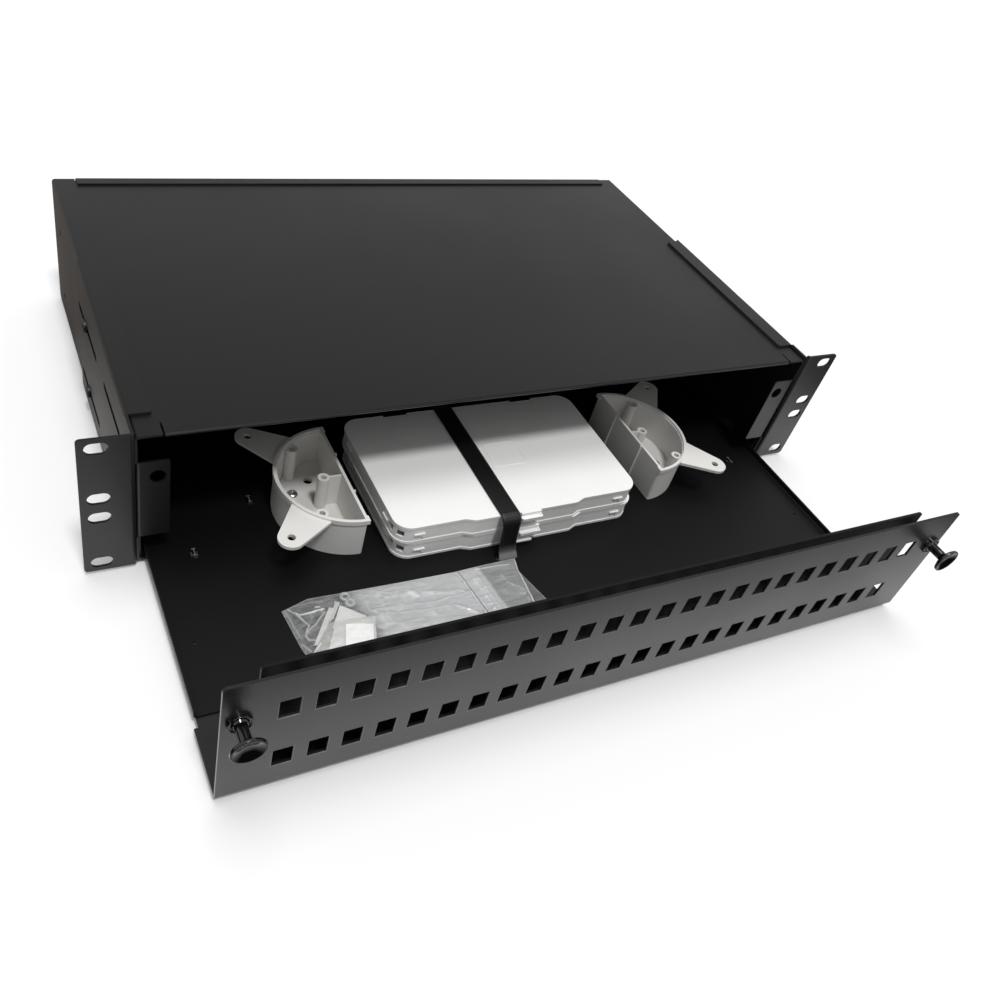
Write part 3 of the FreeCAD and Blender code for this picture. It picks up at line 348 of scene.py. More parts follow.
# Cable grommets
# Moulded black rubber rings, snapped into the rear wall where the cables come in. Rubber is
# dull and shows a faint bloom.
rubber, tree = empty_material("moulded_black_rubber")
place = add(tree, "ShaderNodeTexCoord")
bloom = add(
    tree, "ShaderNodeTexNoise", {"Vector": (place, "Object"), "Scale": 120.0, "Detail": 4.0}
)
tone = add(
    tree,
    "ShaderNodeMixRGB",
    {"Fac": (bloom, "Fac"), "Color1": srgb("161616"), "Color2": srgb("2A2A29")},
)
bump = add(tree, "ShaderNodeBump", {"Strength": 0.2, "Distance": 0.0002, "Height": (bloom, "Fac")})
skin = add(
    tree,
    "ShaderNodeBsdfPrincipled",
    {
        "Base Color": (tone, 0),
        "Roughness": 0.72,
        "IOR": 1.52,
        "Specular IOR Level": 0.3,
        "Normal": (bump, 0),
    },
)
add(tree, "ShaderNodeOutputMaterial", {"Surface": (skin, 0)})
dress(["cable_grommets"], rubber)


# Drawer front
# 1.5 mm steel with two rows of 24 laser-cut ports, folded under the tray. It is coated a little
# glossier upright and dull on its flange. Each port has a thin lighter rim, a painted highlight
# on its cut edge.
glossy_black = powder_coat("glossy_black_powder_coat", "111112", (0.33, 0.88), (0.50, 0.22))
dress(["drawer_front"], glossy_black)


def new_tree(name, sockets):
    """Empty Geometry Nodes tree with named inputs, and its group input node."""
    tree = bpy.data.node_groups.new(name, "GeometryNodeTree")
    tree.interface.new_socket("Geometry", in_out="INPUT", socket_type="NodeSocketGeometry")
    tree.interface.new_socket("Geometry", in_out="OUTPUT", socket_type="NodeSocketGeometry")
    for label, kind in sockets.items():
        tree.interface.new_socket(label, in_out="INPUT", socket_type="NodeSocket" + kind)
    return tree, tree.nodes.new("NodeGroupInput")


def close_tree(tree, grown, finish):
    """End a tree in real faces of one finish, which is a material or a link to one."""
    real = add(tree, "GeometryNodeRealizeInstances", {0: (grown, 0)})
    coated = add(tree, "GeometryNodeSetMaterial", {"Geometry": (real, 0), "Material": finish})
    add(tree, "NodeGroupOutput", {0: (coated, 0)})


def grow(name, tree, values, body, places=(), turns=()):
    """Run a tree on a list of places and keep what it grows as a plain piece."""
    mesh = bpy.data.meshes.new(name)
    mesh.from_pydata(list(places), [], [])
    if turns:
        turn = mesh.attributes.new("turn", "FLOAT", "POINT")
        turn.data.foreach_set("value", list(turns))
    piece = bpy.data.objects.new(name, mesh)
    scene.collection.objects.link(piece)
    modifier = piece.modifiers.new("grow", "NODES")
    modifier.node_group = tree
    for socket in tree.interface.items_tree:
        if socket.in_out == "INPUT" and socket.name in values:
            modifier[socket.identifier] = values[socket.name]
    piece.update_tag()
    bpy.context.view_layer.update()
    view = bpy.context.evaluated_depsgraph_get()
    grown = bpy.data.meshes.new_from_object(piece.evaluated_get(view))
    piece.modifiers.clear()
    piece.data = grown
    grown.name = name
    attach(piece, body)
    return piece


def streaked_highlight(name, dark, light, streaks, finish):
    """Light colour in fine streaks, counted per metre, for painted highlights on edges."""
    material, tree = empty_material(name)
    place = add(tree, "ShaderNodeTexCoord")
    striae = add(
        tree, "ShaderNodeTexNoise", {"Vector": (place, "Object"), "Scale": streaks, "Detail": 2.0}
    )
    tone = add(
        tree,
        "ShaderNodeMixRGB",
        {"Fac": (striae, "Fac"), "Color1": srgb(dark), "Color2": srgb(light)},
    )
    steel = add(tree, "ShaderNodeBsdfPrincipled", {"Base Color": (tone, 0)} | finish)
    add(tree, "ShaderNodeOutputMaterial", {"Surface": (steel, 0)})
    return material


# Painted highlight: light streaked rims round the ports' cut edges
highlight_finish = {"Roughness": 0.35, "Specular IOR Level": 0.7}
painted_edge_highlight = streaked_highlight("painted_port_highlight", "3C3C3D", "767677", 900.0, highlight_finish)

front_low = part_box("drawer_front")[0]
rows_over_foot = 0.03945
rim_sunk = 0.00022
ports_in_row = 24
rim_sizes = {
    "Pitch": 0.016,
    "Row Gap": 0.0361,
    "Port Width": 0.0096,
    "Port Height": 0.0127,
    "Bead": 0.0003,
    "Row Middle": front_low[2] + rows_over_foot,
    "Face": front_low[1],
}
tree, sizes = new_tree("port_rims", {label: "Float" for label in rim_sizes} | {"Ports": "Int"})
gaps = add(tree, "ShaderNodeMath", {0: (sizes, "Ports"), 1: 1.0}, operation="SUBTRACT")
span = add(tree, "ShaderNodeMath", {0: (gaps, 0), 1: (sizes, "Pitch")}, operation="MULTIPLY")
grid = add(
    tree,
    "GeometryNodeMeshGrid",
    {
        "Size X": (span, 0),
        "Size Y": (sizes, "Row Gap"),
        "Vertices X": (sizes, "Ports"),
        "Vertices Y": 2,
    },
)
opening = add(
    tree,
    "GeometryNodeCurvePrimitiveQuadrilateral",
    {"Width": (sizes, "Port Width"), "Height": (sizes, "Port Height")},
)
corner = add(
    tree,
    "GeometryNodeFilletCurve",
    {"Curve": (opening, 0), "Radius": (sizes, "Bead"), "Count": 2},
    mode="POLY",
)
bead = add(tree, "GeometryNodeCurvePrimitiveCircle", {"Resolution": 8, "Radius": (sizes, "Bead")})
rim = add(tree, "GeometryNodeCurveToMesh", {"Curve": (corner, 0), "Profile Curve": (bead, 0)})
rims = add(tree, "GeometryNodeInstanceOnPoints", {"Points": (grid, 0), "Instance": (rim, 0)})
stand = add(tree, "ShaderNodeCombineXYZ", {"Y": (sizes, "Face"), "Z": (sizes, "Row Middle")})
sunk = add(tree, "ShaderNodeVectorMath", {0: (stand, 0), 1: (0.0, rim_sunk, 0.0)}, operation="ADD")
upright = add(
    tree,
    "GeometryNodeTransform",
    {"Geometry": (rims, 0), "Translation": (sunk, 0), "Rotation": (math.pi / 2, 0.0, 0.0)},
)
close_tree(tree, upright, painted_edge_highlight)
port_rims = grow("port_rims", tree, rim_sizes | {"Ports": ports_in_row}, "drawer")


# Blanking plate
# A second folded plate stands behind the ports on a riveted foot and keeps dust out of
# those that are not in use. It is drawn in the tray's darker, duller copy of the case's powder.
# The blind rivets are aluminium with a steel mandrel.
# The case's black powder, drawn darker and duller
dull_black = powder_coat("dull_black_powder_coat", "0B0B0C", (0.50, 0.33), (0.50, 0.11))
dress(["blanking_plate"], dull_black)
aluminium, tree = empty_material("drawn_aluminium")
place = add(tree, "ShaderNodeTexCoord")
drawn = add(
    tree, "ShaderNodeTexNoise", {"Vector": (place, "Object"), "Scale": 700.0, "Detail": 3.0}
)
gloss = add(tree, "ShaderNodeMapRange", {"Value": (drawn, "Fac"), "To Min": 0.28, "To Max": 0.46})
metal = add(
    tree,
    "ShaderNodeBsdfPrincipled",
    {"Base Color": srgb("C9CACB"), "Metallic": 1.0, "Roughness": (gloss, 0)},
)
add(tree, "ShaderNodeOutputMaterial", {"Surface": (metal, 0)})
dress(["blanking_rivets"], aluminium)


def turned(name, profile, steps):
    """Shape turned round Z from (radius, height) pairs, from its foot up to its crown."""
    shape = bmesh.new()
    rings = []
    for radius, height in profile:
        angles = [2 * math.pi * k / steps for k in range(steps)] if radius > 0 else [0.0]
        rings.append(
            [shape.verts.new((radius * math.cos(a), radius * math.sin(a), height)) for a in angles]
        )
    for low, high in zip(rings, rings[1:]):
        for k in range(steps):
            corners = [low[k % len(low)], low[(k + 1) % len(low)]]
            corners += [high[(k + 1) % len(high)], high[k % len(high)]]
            shape.faces.new(list(dict.fromkeys(corners)))
    mesh = bpy.data.meshes.new(name)
    shape.to_mesh(mesh)
    shape.free()
    return mesh


tree, sizes = new_tree("set_out", {"Shape": "Object", "Finish": "Material"})
shape = add(tree, "GeometryNodeObjectInfo", {"Object": (sizes, "Shape")})
turn = add(tree, "GeometryNodeInputNamedAttribute", {"Name": "turn"}, data_type="FLOAT")
about = add(tree, "ShaderNodeCombineXYZ", {"Z": (turn, "Attribute")})
facing = add(tree, "FunctionNodeEulerToRotation", {0: (about, 0)})
copies = add(
    tree,
    "GeometryNodeInstanceOnPoints",
    {"Points": (sizes, "Geometry"), "Instance": (shape, "Geometry"), "Rotation": (facing, 0)},
)
close_tree(tree, copies, (sizes, "Finish"))
set_out = tree


def copies_of(mesh, name, places, turns, finish, body):
    """Set a small shape out at a list of places."""
    sample = bpy.data.objects.new(name + "_sample", mesh)
    values = {"Shape": sample, "Finish": finish}
    piece = grow(name, set_out, values, body, places, turns)
    bpy.data.objects.remove(sample)
    return piece


rivet_low, rivet_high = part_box("blanking_rivets")
rivets = 5
rivet_head = 0.0064
rivet_span = rivet_high[0] - rivet_low[0] - rivet_head
rivet_row = (rivet_low[1] + rivet_high[1]) / 2
rivet_spots = [
    (-rivet_span / 2 + k * rivet_span / (rivets - 1), rivet_row, rivet_high[2])
    for k in range(rivets)
]
mandrel = turned(
    "mandrel_end",
    [(0, -0.0002), (0.0009, -0.0002), (0.0009, 0.0002), (0.0007, 0.0004), (0, 0.00045)],
    16,
)
mandrels = copies_of(mandrel, "rivet_mandrels", rivet_spots, [0.0] * rivets, bright_zinc, "drawer")


# Tray
# 1.2 mm steel with its sides folded up, in a darker, duller copy of the case's black powder. Four
# cable-tie bridges are pressed out of the floor; their cut edges show bare steel, drawn light as a
# painted glint.
dress(["drawer_tray"], dull_black)
tray_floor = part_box("spool_left")[0][2]
# Painted glint: light streaked bare steel on the bridges' edges and crest
glint_finish = {"Metallic": 0.6, "Roughness": 0.45}
glinting_bare_steel = streaked_highlight("bare_steel_glint", "4A4A4A", "B4B4B2", 1100.0, glint_finish)


def bar(shape, low, high, bevel=0.0):
    """Square-cornered bar between two corners, added to a growing mesh, with bevelled edges."""
    made = bmesh.ops.create_cube(shape, size=1.0)["verts"]
    for corner in made:
        for axis in range(3):
            corner.co[axis] = high[axis] if corner.co[axis] > 0 else low[axis]
    if bevel:
        edges = list({edge for corner in made for edge in corner.link_edges})
        bmesh.ops.bevel(shape, geom=edges, offset=bevel, segments=2, profile=0.5, affect="EDGES")


def finished(shape, name):
    """Mesh from a bmesh, whose faces all point outwards."""
    bmesh.ops.recalc_face_normals(shape, faces=shape.faces)
    mesh = bpy.data.meshes.new(name)
    shape.to_mesh(mesh)
    shape.free()
    return mesh


# Each painted glint lies on the bridge's two cut edges and along its crest
glint_mark = bmesh.new()
bar(glint_mark, (-0.0011, -0.0025, -0.0001), (0.0011, -0.0020, 0.00012))
bar(glint_mark, (-0.0011, 0.0020, -0.0001), (0.0011, 0.0025, 0.00012))
bar(glint_mark, (-0.0002, -0.0021, -0.0001), (0.0003, 0.0021, 0.00006))
bridge_rise = 0.0009
bridge_places = ((0.187, -0.003), (0.1482, 0.0298))
bridge_spots = [
    (side * x, y, tray_floor + bridge_rise) for x, y in bridge_places for side in (-1, 1)
]
glint_marks = copies_of(
    finished(glint_mark, "bridge_glint"),
    "bridge_scuffs",
    bridge_spots,
    [0.0] * len(bridge_spots),
    glinting_bare_steel,
    "drawer",
)


# Glide buttons
# Black acetal buttons pressed into the tray floor from below, which runs on them over the
# pan. Acetal is smooth and waxy, and worn dull.
def moulded(name, light, dark, roughness, grain, shine):
    """Moulded plastic with a spark-eroded skin; grain counts its pits per metre."""
    material, tree = empty_material(name)
    place = add(tree, "ShaderNodeTexCoord")
    skin = add(
        tree, "ShaderNodeTexNoise", {"Vector": (place, "Object"), "Scale": grain, "Detail": 2.0}
    )
    flow = add(
        tree, "ShaderNodeTexNoise", {"Vector": (place, "Object"), "Scale": 30.0, "Detail": 3.0}
    )
    tone = add(
        tree,
        "ShaderNodeMixRGB",
        {"Fac": (flow, "Fac"), "Color1": srgb(dark), "Color2": srgb(light)},
    )
    gloss = add(
        tree,
        "ShaderNodeMapRange",
        {"Value": (flow, "Fac"), "To Min": roughness - 0.05, "To Max": roughness + 0.05},
    )
    bump = add(
        tree, "ShaderNodeBump", {"Strength": 0.12, "Distance": 0.0001, "Height": (skin, "Fac")}
    )
    plastic = add(
        tree,
        "ShaderNodeBsdfPrincipled",
        {
            "Base Color": (tone, 0),
            "Roughness": (gloss, 0),
            "IOR": 1.5,
            "Specular IOR Level": shine,
            "Normal": (bump, 0),
        },
    )
    add(tree, "ShaderNodeOutputMaterial", {"Surface": (plastic, 0)})
    return material


black_acetal = moulded("moulded_black_acetal", "0B0B0C", "09090A", 0.5, 900.0, 0.11)
dress(["glide_buttons"], black_acetal)


# Fibre spools
# Two half-drums moulded in warm light grey ABS, with a fine matt skin. Each has bosses for
# stacking, two ears, and two screws down into the tray.
grey_abs = moulded("matt_grey_abs", "E0DFDC", "D6D5D1", 0.5, 1300.0, 0.4)
dress(["spool_left", "spool_right"], grey_abs)

# The screws are pan heads with a cross recess, bright zinc plated
screw_low, screw_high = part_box("spool_screws")
head_height = 0.0018
head_radius = 0.0032
shank_radius = 0.0015
seat = screw_high[2] - head_height
screw_tip = screw_low[2] - seat
screw_mesh = turned(
    "pan_screw",
    [
        (0, screw_tip),
        (0.0011, screw_tip),
        (shank_radius, screw_tip + 0.0008),
        (shank_radius, 0.0),
        (head_radius, 0.0),
        (head_radius, 0.0008),
        (0.0029, 0.0013),
        (0.0022, 0.0017),
        (0.0012, head_height),
        (0, head_height),
    ],
    28,
)
cross = bmesh.new()
for half_x, half_y in ((0.0017, 0.0004), (0.0004, 0.0017)):
    bar(cross, (-half_x, -half_y, 0.0007), (half_x, half_y, 0.0025))
recess = bpy.data.objects.new("cross_recess", finished(cross, "cross_recess"))
screw = bpy.data.objects.new("pan_screw", screw_mesh)
scene.collection.objects.link(recess)
scene.collection.objects.link(screw)
cut = screw.modifiers.new("recess", "BOOLEAN")
cut.operation = "DIFFERENCE"
cut.solver = "EXACT"
cut.use_self = True
cut.object = recess
bpy.context.view_layer.update()
view = bpy.context.evaluated_depsgraph_get()
cut_screw = bpy.data.meshes.new_from_object(screw.evaluated_get(view))
bpy.data.objects.remove(screw)
bpy.data.objects.remove(recess)
screw_x = screw_high[0] - head_radius
screw_middle = (screw_low[1] + screw_high[1]) / 2
screw_half_pitch = (screw_high[1] - screw_low[1]) / 2 - head_radius
screw_spots = [
    (side * screw_x, screw_middle + end * screw_half_pitch, seat)
    for side in (-1, 1)
    for end in (-1, 1)
]
spool_screws = copies_of(
    cut_screw, "spool_pan_screws", screw_spots, [0.5, 1.1, 0.2, 0.8], bright_zinc, "drawer"
)
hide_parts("spool_screws")


# Splice cassettes
# Two trays of white ABS with flat lids, stacked. A spark-eroded skin keeps them satin. Each
# lid has a tongue at the front, and each corner has gates where the fibres come in.
white_abs = moulded("satin_white_abs", "F6F6F5", "F0F0EE", 0.42, 1000.0, 0.45)
dress(
    ["cassette_base_lower", "cassette_lid_lower", "cassette_base_upper", "cassette_lid_upper"],
    white_abs,
)
comb = moulded("soft_grey_comb", "8E9092", "7C7E80", 0.6, 800.0, 0.3)
dress(["splice_holder_lower", "splice_holder_upper"], comb)

# The tongues have a raised rim to catch a finger; below them the base has a moulded step
tongue_width = 0.0134
tongue_drop = 0.0025
tongues = bmesh.new()
for name, right in (("upper", 0.0033), ("lower", 0.0053)):
    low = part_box("cassette_lid_" + name)[0]
    base_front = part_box("cassette_base_" + name)[0][1]
    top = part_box("cassette_lid_" + name)[1][2] - tongue_drop
    left = right - tongue_width
    bar(tongues, (left, low[1], top - 0.0003), (right, low[1] + 0.0010, top + 0.0007), 0.0002)
    bar(
        tongues,
        (right - 0.0010, low[1] + 0.0001, top - 0.0002),
        (right - 0.0001, base_front, top + 0.0010),
        0.0002,
    )
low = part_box("cassette_base_lower")[0]
for right, reach, foot, crown in (
    (0.0020, 0.0032, 0.0018, 0.0032),
    (0.0014, 0.0022, 0.0032, 0.0048),
):
    bar(
        tongues,
        (-0.0100, low[1] - reach, low[2] + foot),
        (right, low[1] + 0.0006, low[2] + crown),
        0.0003,
    )
lid_tongues = bpy.data.objects.new("lid_tongues", finished(tongues, "lid_tongues"))
scene.collection.objects.link(lid_tongues)
lid_tongues.data.materials.append(white_abs)
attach(lid_tongues, "drawer")

# Beside each gate a snap tab stands out from the wall, with a short stem under it
tab = bmesh.new()
bar(tab, (-0.0034, -0.0007, 0.0), (0.0034, 0.0007, 0.0014), 0.0003)
bar(tab, (0.0012, -0.0006, -0.0018), (0.0030, 0.0006, 0.0004), 0.0003)
front_step = 0.0024
tab_level = 0.0056
tab_sunk = 0.0002
tab_from_side = 0.0138
tab_from_end = 0.0175
tab_spots = []
tab_turns = []
for name in ("lower", "upper"):
    low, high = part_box("cassette_base_" + name)
    middle_x = (low[0] + high[0]) / 2
    middle_y = (low[1] + front_step + high[1]) / 2
    half_x = (high[0] - low[0]) / 2
    half_y = (high[1] - low[1] - front_step) / 2
    level = low[2] + tab_level
    for side in (-1, 1):
        for end in (-1, 1):
            for inset_x, inset_y, turn in (
                (tab_from_side, tab_sunk, 0.0),
                (tab_sunk, tab_from_end, math.pi / 2),
            ):
                x = middle_x + side * (half_x - inset_x)
                y = middle_y + end * (half_y - inset_y)
                tab_spots.append((x, y, level))
                tab_turns.append(turn)
snap_tabs = copies_of(
    finished(tab, "snap_tab"), "snap_tabs", tab_spots, tab_turns, white_abs, "drawer"
)

# The lids hinge on short pins in the notches of the rear edge
pin_radius = 0.0011
pin_length = 0.0155
pin_from_middle = 0.045
pin = turned("hinge_pin", [(0, 0), (pin_radius, 0), (pin_radius, pin_length), (0, pin_length)], 16)
for corner in pin.vertices:
    corner.co = (corner.co[2] - pin_length / 2, corner.co[1], -corner.co[0])
pin_spots = []
for name in ("lower", "upper"):
    low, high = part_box("cassette_base_" + name)
    middle_x = (low[0] + high[0]) / 2
    for side in (-1, 1):
        pin_spots.append((middle_x + side * pin_from_middle, high[1] - 0.0014, high[2] + 0.0004))
hinge_pins = copies_of(pin, "hinge_pins", pin_spots, [0.0] * len(pin_spots), white_abs, "drawer")

# A rounded square is embossed on the middle of the upper lid
emboss_sizes = {
    "Width": 0.022,
    "Depth": 0.020,
    "Corner": 0.003,
    "Bead": 0.0003,
    "Middle X": 0.004,
    "Middle Y": 0.012,
    "Level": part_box("cassette_lid_upper")[1][2],
}
tree, sizes = new_tree("lid_emboss", {label: "Float" for label in emboss_sizes})
square = add(
    tree,
    "GeometryNodeCurvePrimitiveQuadrilateral",
    {"Width": (sizes, "Width"), "Height": (sizes, "Depth")},
)
soft = add(
    tree,
    "GeometryNodeFilletCurve",
    {"Curve": (square, 0), "Radius": (sizes, "Corner"), "Count": 6},
    mode="POLY",
)
bead = add(tree, "GeometryNodeCurvePrimitiveCircle", {"Resolution": 8, "Radius": (sizes, "Bead")})
line = add(tree, "GeometryNodeCurveToMesh", {"Curve": (soft, 0), "Profile Curve": (bead, 0)})
middle = add(
    tree,
    "ShaderNodeCombineXYZ",
    {"X": (sizes, "Middle X"), "Y": (sizes, "Middle Y"), "Z": (sizes, "Level")},
)
laid = add(tree, "GeometryNodeTransform", {"Geometry": (line, 0), "Translation": (middle, 0)})
close_tree(tree, laid, white_abs)
emboss = grow("lid_emboss", tree, emboss_sizes, "drawer")


# Strap
# A flat black webbing tie holds the cassettes down. It runs over the lids, creases over
# their front edge, and goes through two slots to close under the tray.
strap_width = 0.012
strap_half = 0.00055
# Heights of its middle line where it lies under the tray and over the lids
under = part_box("cassette_strap")[0][2] + 0.0006
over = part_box("cassette_lid_upper")[1][2] + 0.0008
# Each point of the strap's middle line: y, z, the left edge's x and the right edge's x
strap_route = [
    (0.000, under, -0.0240, -0.0120),
    (-0.034, under, -0.0240, -0.0120),
    (-0.0452, under + 0.0002, -0.0240, -0.0120),
    (-0.0484, under + 0.0012, -0.0240, -0.0120),
    (-0.0487, tray_floor + 0.0003, -0.0240, -0.0120),
    (-0.0476, tray_floor + 0.0020, -0.0239, -0.0122),
    (-0.0458, tray_floor + 0.0042, -0.0238, -0.0124),
    (-0.0444, tray_floor + 0.0085, -0.0237, -0.0126),
    (-0.0434, tray_floor + 0.0135, -0.0236, -0.0127),
    (-0.0427, tray_floor + 0.0190, -0.0236, -0.0125),
    (-0.0414, tray_floor + 0.0225, -0.0237, -0.0121),
    (-0.0394, over - 0.0008, -0.0238, -0.0119),
    (-0.0372, over + 0.0001, -0.0238, -0.0118),
    (-0.0345, over + 0.0001, -0.0238, -0.0118),
    (-0.020, over, -0.0238, -0.0117),
    (0.012, over, -0.0237, -0.0115),
    (0.040, over, -0.0236, -0.0114),
    (0.0575, over, -0.0236, -0.0114),
    (0.0606, over - 0.0008, -0.0236, -0.0114),
    (0.0620, over - 0.0040, -0.0236, -0.0114),
    (0.0634, tray_floor + 0.0080, -0.0238, -0.0118),
    (0.0650, tray_floor + 0.0010, -0.0240, -0.0120),
    (0.0648, under + 0.0012, -0.0240, -0.0120),
    (0.0625, under, -0.0240, -0.0120),
    (0.034, under, -0.0240, -0.0120),
]


def eased(knots, place):
    """Smooth closed line through the knots at a place counted in knots."""
    count = len(knots)
    i = int(place) % count
    t = place - int(place)
    before, here, after, beyond = (knots[(i + k - 1) % count] for k in range(4))
    return [
        0.5
        * (
            2 * b
            + (c - a) * t
            + (2 * a - 5 * b + 4 * c - d) * t * t
            + (3 * b - a - 3 * c + d) * t * t * t
        )
        for a, b, c, d in zip(before, here, after, beyond)
    ]


strap_steps = 10
strap_across = 10
selvedge_thinning = 0.45
rows = []
travel = 0.0
line = [eased(strap_route, k / strap_steps) for k in range(len(strap_route) * strap_steps)]
webbing = bmesh.new()
weave_map = webbing.loops.layers.uv.new("weave")
for k, (y, z, left, right) in enumerate(line):
    back_y, back_z = line[k - 1][:2]
    next_y, next_z = line[(k + 1) % len(line)][:2]
    run = math.hypot(next_y - back_y, next_z - back_z)
    normal = ((next_z - back_z) / run, -(next_y - back_y) / run)
    travel += math.hypot(y - back_y, z - back_z) if k else 0.0
    ring = []
    for face in (1, -1):
        for j in range(strap_across + 1):
            share = j / strap_across if face > 0 else 1 - j / strap_across
            selvedge = 1.0 - selvedge_thinning * abs(2 * share - 1) ** 8
            reach = face * strap_half * selvedge
            spot = (left + (right - left) * share, y + reach * normal[0], z + reach * normal[1])
            ring.append((webbing.verts.new(spot), share + (face < 0), travel))
    rows.append(ring)
for k, ring in enumerate(rows):
    following = rows[(k + 1) % len(rows)]
    for j in range(len(ring)):
        m = (j + 1) % len(ring)
        corners = [ring[j], ring[m], following[m], following[j]]
        face = webbing.faces.new([corner[0] for corner in corners])
        face.smooth = True
        for loop, corner in zip(face.loops, corners):
            length = corner[2] if k < len(rows) - 1 or corner[2] > 0 else travel
            loop[weave_map].uv = (corner[1] * strap_width, length)
strap = bpy.data.objects.new("cassette_tie", finished(webbing, "cassette_tie"))
scene.collection.objects.link(strap)

# Nylon webbing: 1 mm ribs across, with a sheen, drawn lighter and smoother where it meets the slot
# as a painted glint
nylon_webbing, tree = empty_material("woven_black_nylon")
threads = add(tree, "ShaderNodeUVMap", uv_map="weave")
ribs = add(
    tree,
    "ShaderNodeTexWave",
    {"Vector": (threads, 0), "Scale": 160.0, "Distortion": 0.4, "Detail": 1.0},
    bands_direction="Y",
)
warp = add(
    tree,
    "ShaderNodeTexWave",
    {"Vector": (threads, 0), "Scale": 320.0, "Distortion": 0.2},
    bands_direction="X",
)
weave = add(tree, "ShaderNodeMath", {0: (ribs, "Fac"), 1: (warp, "Fac")}, operation="MULTIPLY")
slot_end = -0.0480
glint_fade_end = -0.0450
place = add(tree, "ShaderNodeTexCoord")
spot = add(tree, "ShaderNodeSeparateXYZ", {0: (place, "Object")})
foot = add(
    tree, "ShaderNodeMapRange", {"Value": (spot, "Y"), "From Min": glint_fade_end, "From Max": slot_end}
)
tone = add(
    tree,
    "ShaderNodeMixRGB",
    {"Fac": (weave, 0), "Color1": srgb("090909"), "Color2": srgb("151515")},
)
# Painted glint: the webbing is drawn lighter towards the slot
painted_foot_glint = add(
    tree, "ShaderNodeMixRGB", {"Fac": (foot, 0), "Color1": (tone, 0), "Color2": srgb("747474")}
)
gloss = add(tree, "ShaderNodeMapRange", {"Value": (foot, 0), "To Min": 0.42, "To Max": 0.22})
bump = add(tree, "ShaderNodeBump", {"Strength": 0.25, "Distance": 0.00015, "Height": (weave, 0)})
cloth = add(
    tree,
    "ShaderNodeBsdfPrincipled",
    {
        "Base Color": (painted_foot_glint, 0),
        "Roughness": (gloss, 0),
        "Specular IOR Level": 0.35,
        "Sheen Weight": 0.05,
        "Sheen Roughness": 0.4,
        "Normal": (bump, 0),
    },
)
add(tree, "ShaderNodeOutputMaterial", {"Surface": (cloth, 0)})
strap.data.materials.append(nylon_webbing)
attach(strap, "drawer")
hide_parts("cassette_strap")


# Latches
# Push-pull plungers and their split collars, moulded in glass-smooth black nylon and snapped
# through the front. They lock behind the tabs of the case.
black_nylon = moulded("polished_black_nylon", "0A0A0B", "060606", 0.1, 600.0, 0.55)
dress(
    ["latch_grommet_left", "latch_grommet_right", "latch_plunger_left", "latch_plunger_right"],
    black_nylon,
)


# Bag of fixings
# A press-seal bag of 60 micron polythene lies flat on the tray, its mouth folded over at the
# right. It is crumpled round a few blank cards and two clear rings.
bag_floor = tray_floor + 0.00015
bag_left_edge = [
    (-0.1550, -0.0530), (-0.1538, -0.0660), (-0.1527, -0.0777),
    (-0.1510, -0.0858), (-0.1488, -0.1000), (-0.1465, -0.1165),
]
bag_right_edge = [
    (-0.0140, -0.0496), (-0.0165, -0.0594), (-0.0128, -0.0730),
    (-0.0096, -0.0852), (-0.0090, -0.1000), (-0.0096, -0.1168),
]
bag_back_edge = [
    (-0.1550, -0.0530), (-0.1395, -0.0483), (-0.1166, -0.0491), (-0.0880, -0.0500),
    (-0.0544, -0.0506), (-0.0340, -0.0498), (-0.0140, -0.0496),
]


def along(points, share):
    """Point at a share of the way along a line of points."""
    place = share * (len(points) - 1)
    i = min(int(place), len(points) - 2)
    return tuple(a + (b - a) * (place - i) for a, b in zip(points[i], points[i + 1]))


def across_bag(u, v):
    """Point in plan at u from the left edge to the right and v from the back to the front."""
    left = along(bag_left_edge, v)
    right = along(bag_right_edge, v)
    back = along(bag_back_edge, u)
    front = tuple(a + (b - a) * u for a, b in zip(bag_left_edge[-1], bag_right_edge[-1]))
    point = []
    for axis in (0, 1):
        corners = (
            (1 - u) * (1 - v) * bag_left_edge[0][axis]
            + u * (1 - v) * bag_right_edge[0][axis]
            + (1 - u) * v * bag_left_edge[-1][axis]
            + u * v * bag_right_edge[-1][axis]
        )
        sides = (1 - u) * left[axis] + u * right[axis]
        point.append((1 - v) * back[axis] + v * front[axis] + sides - corners)
    return point
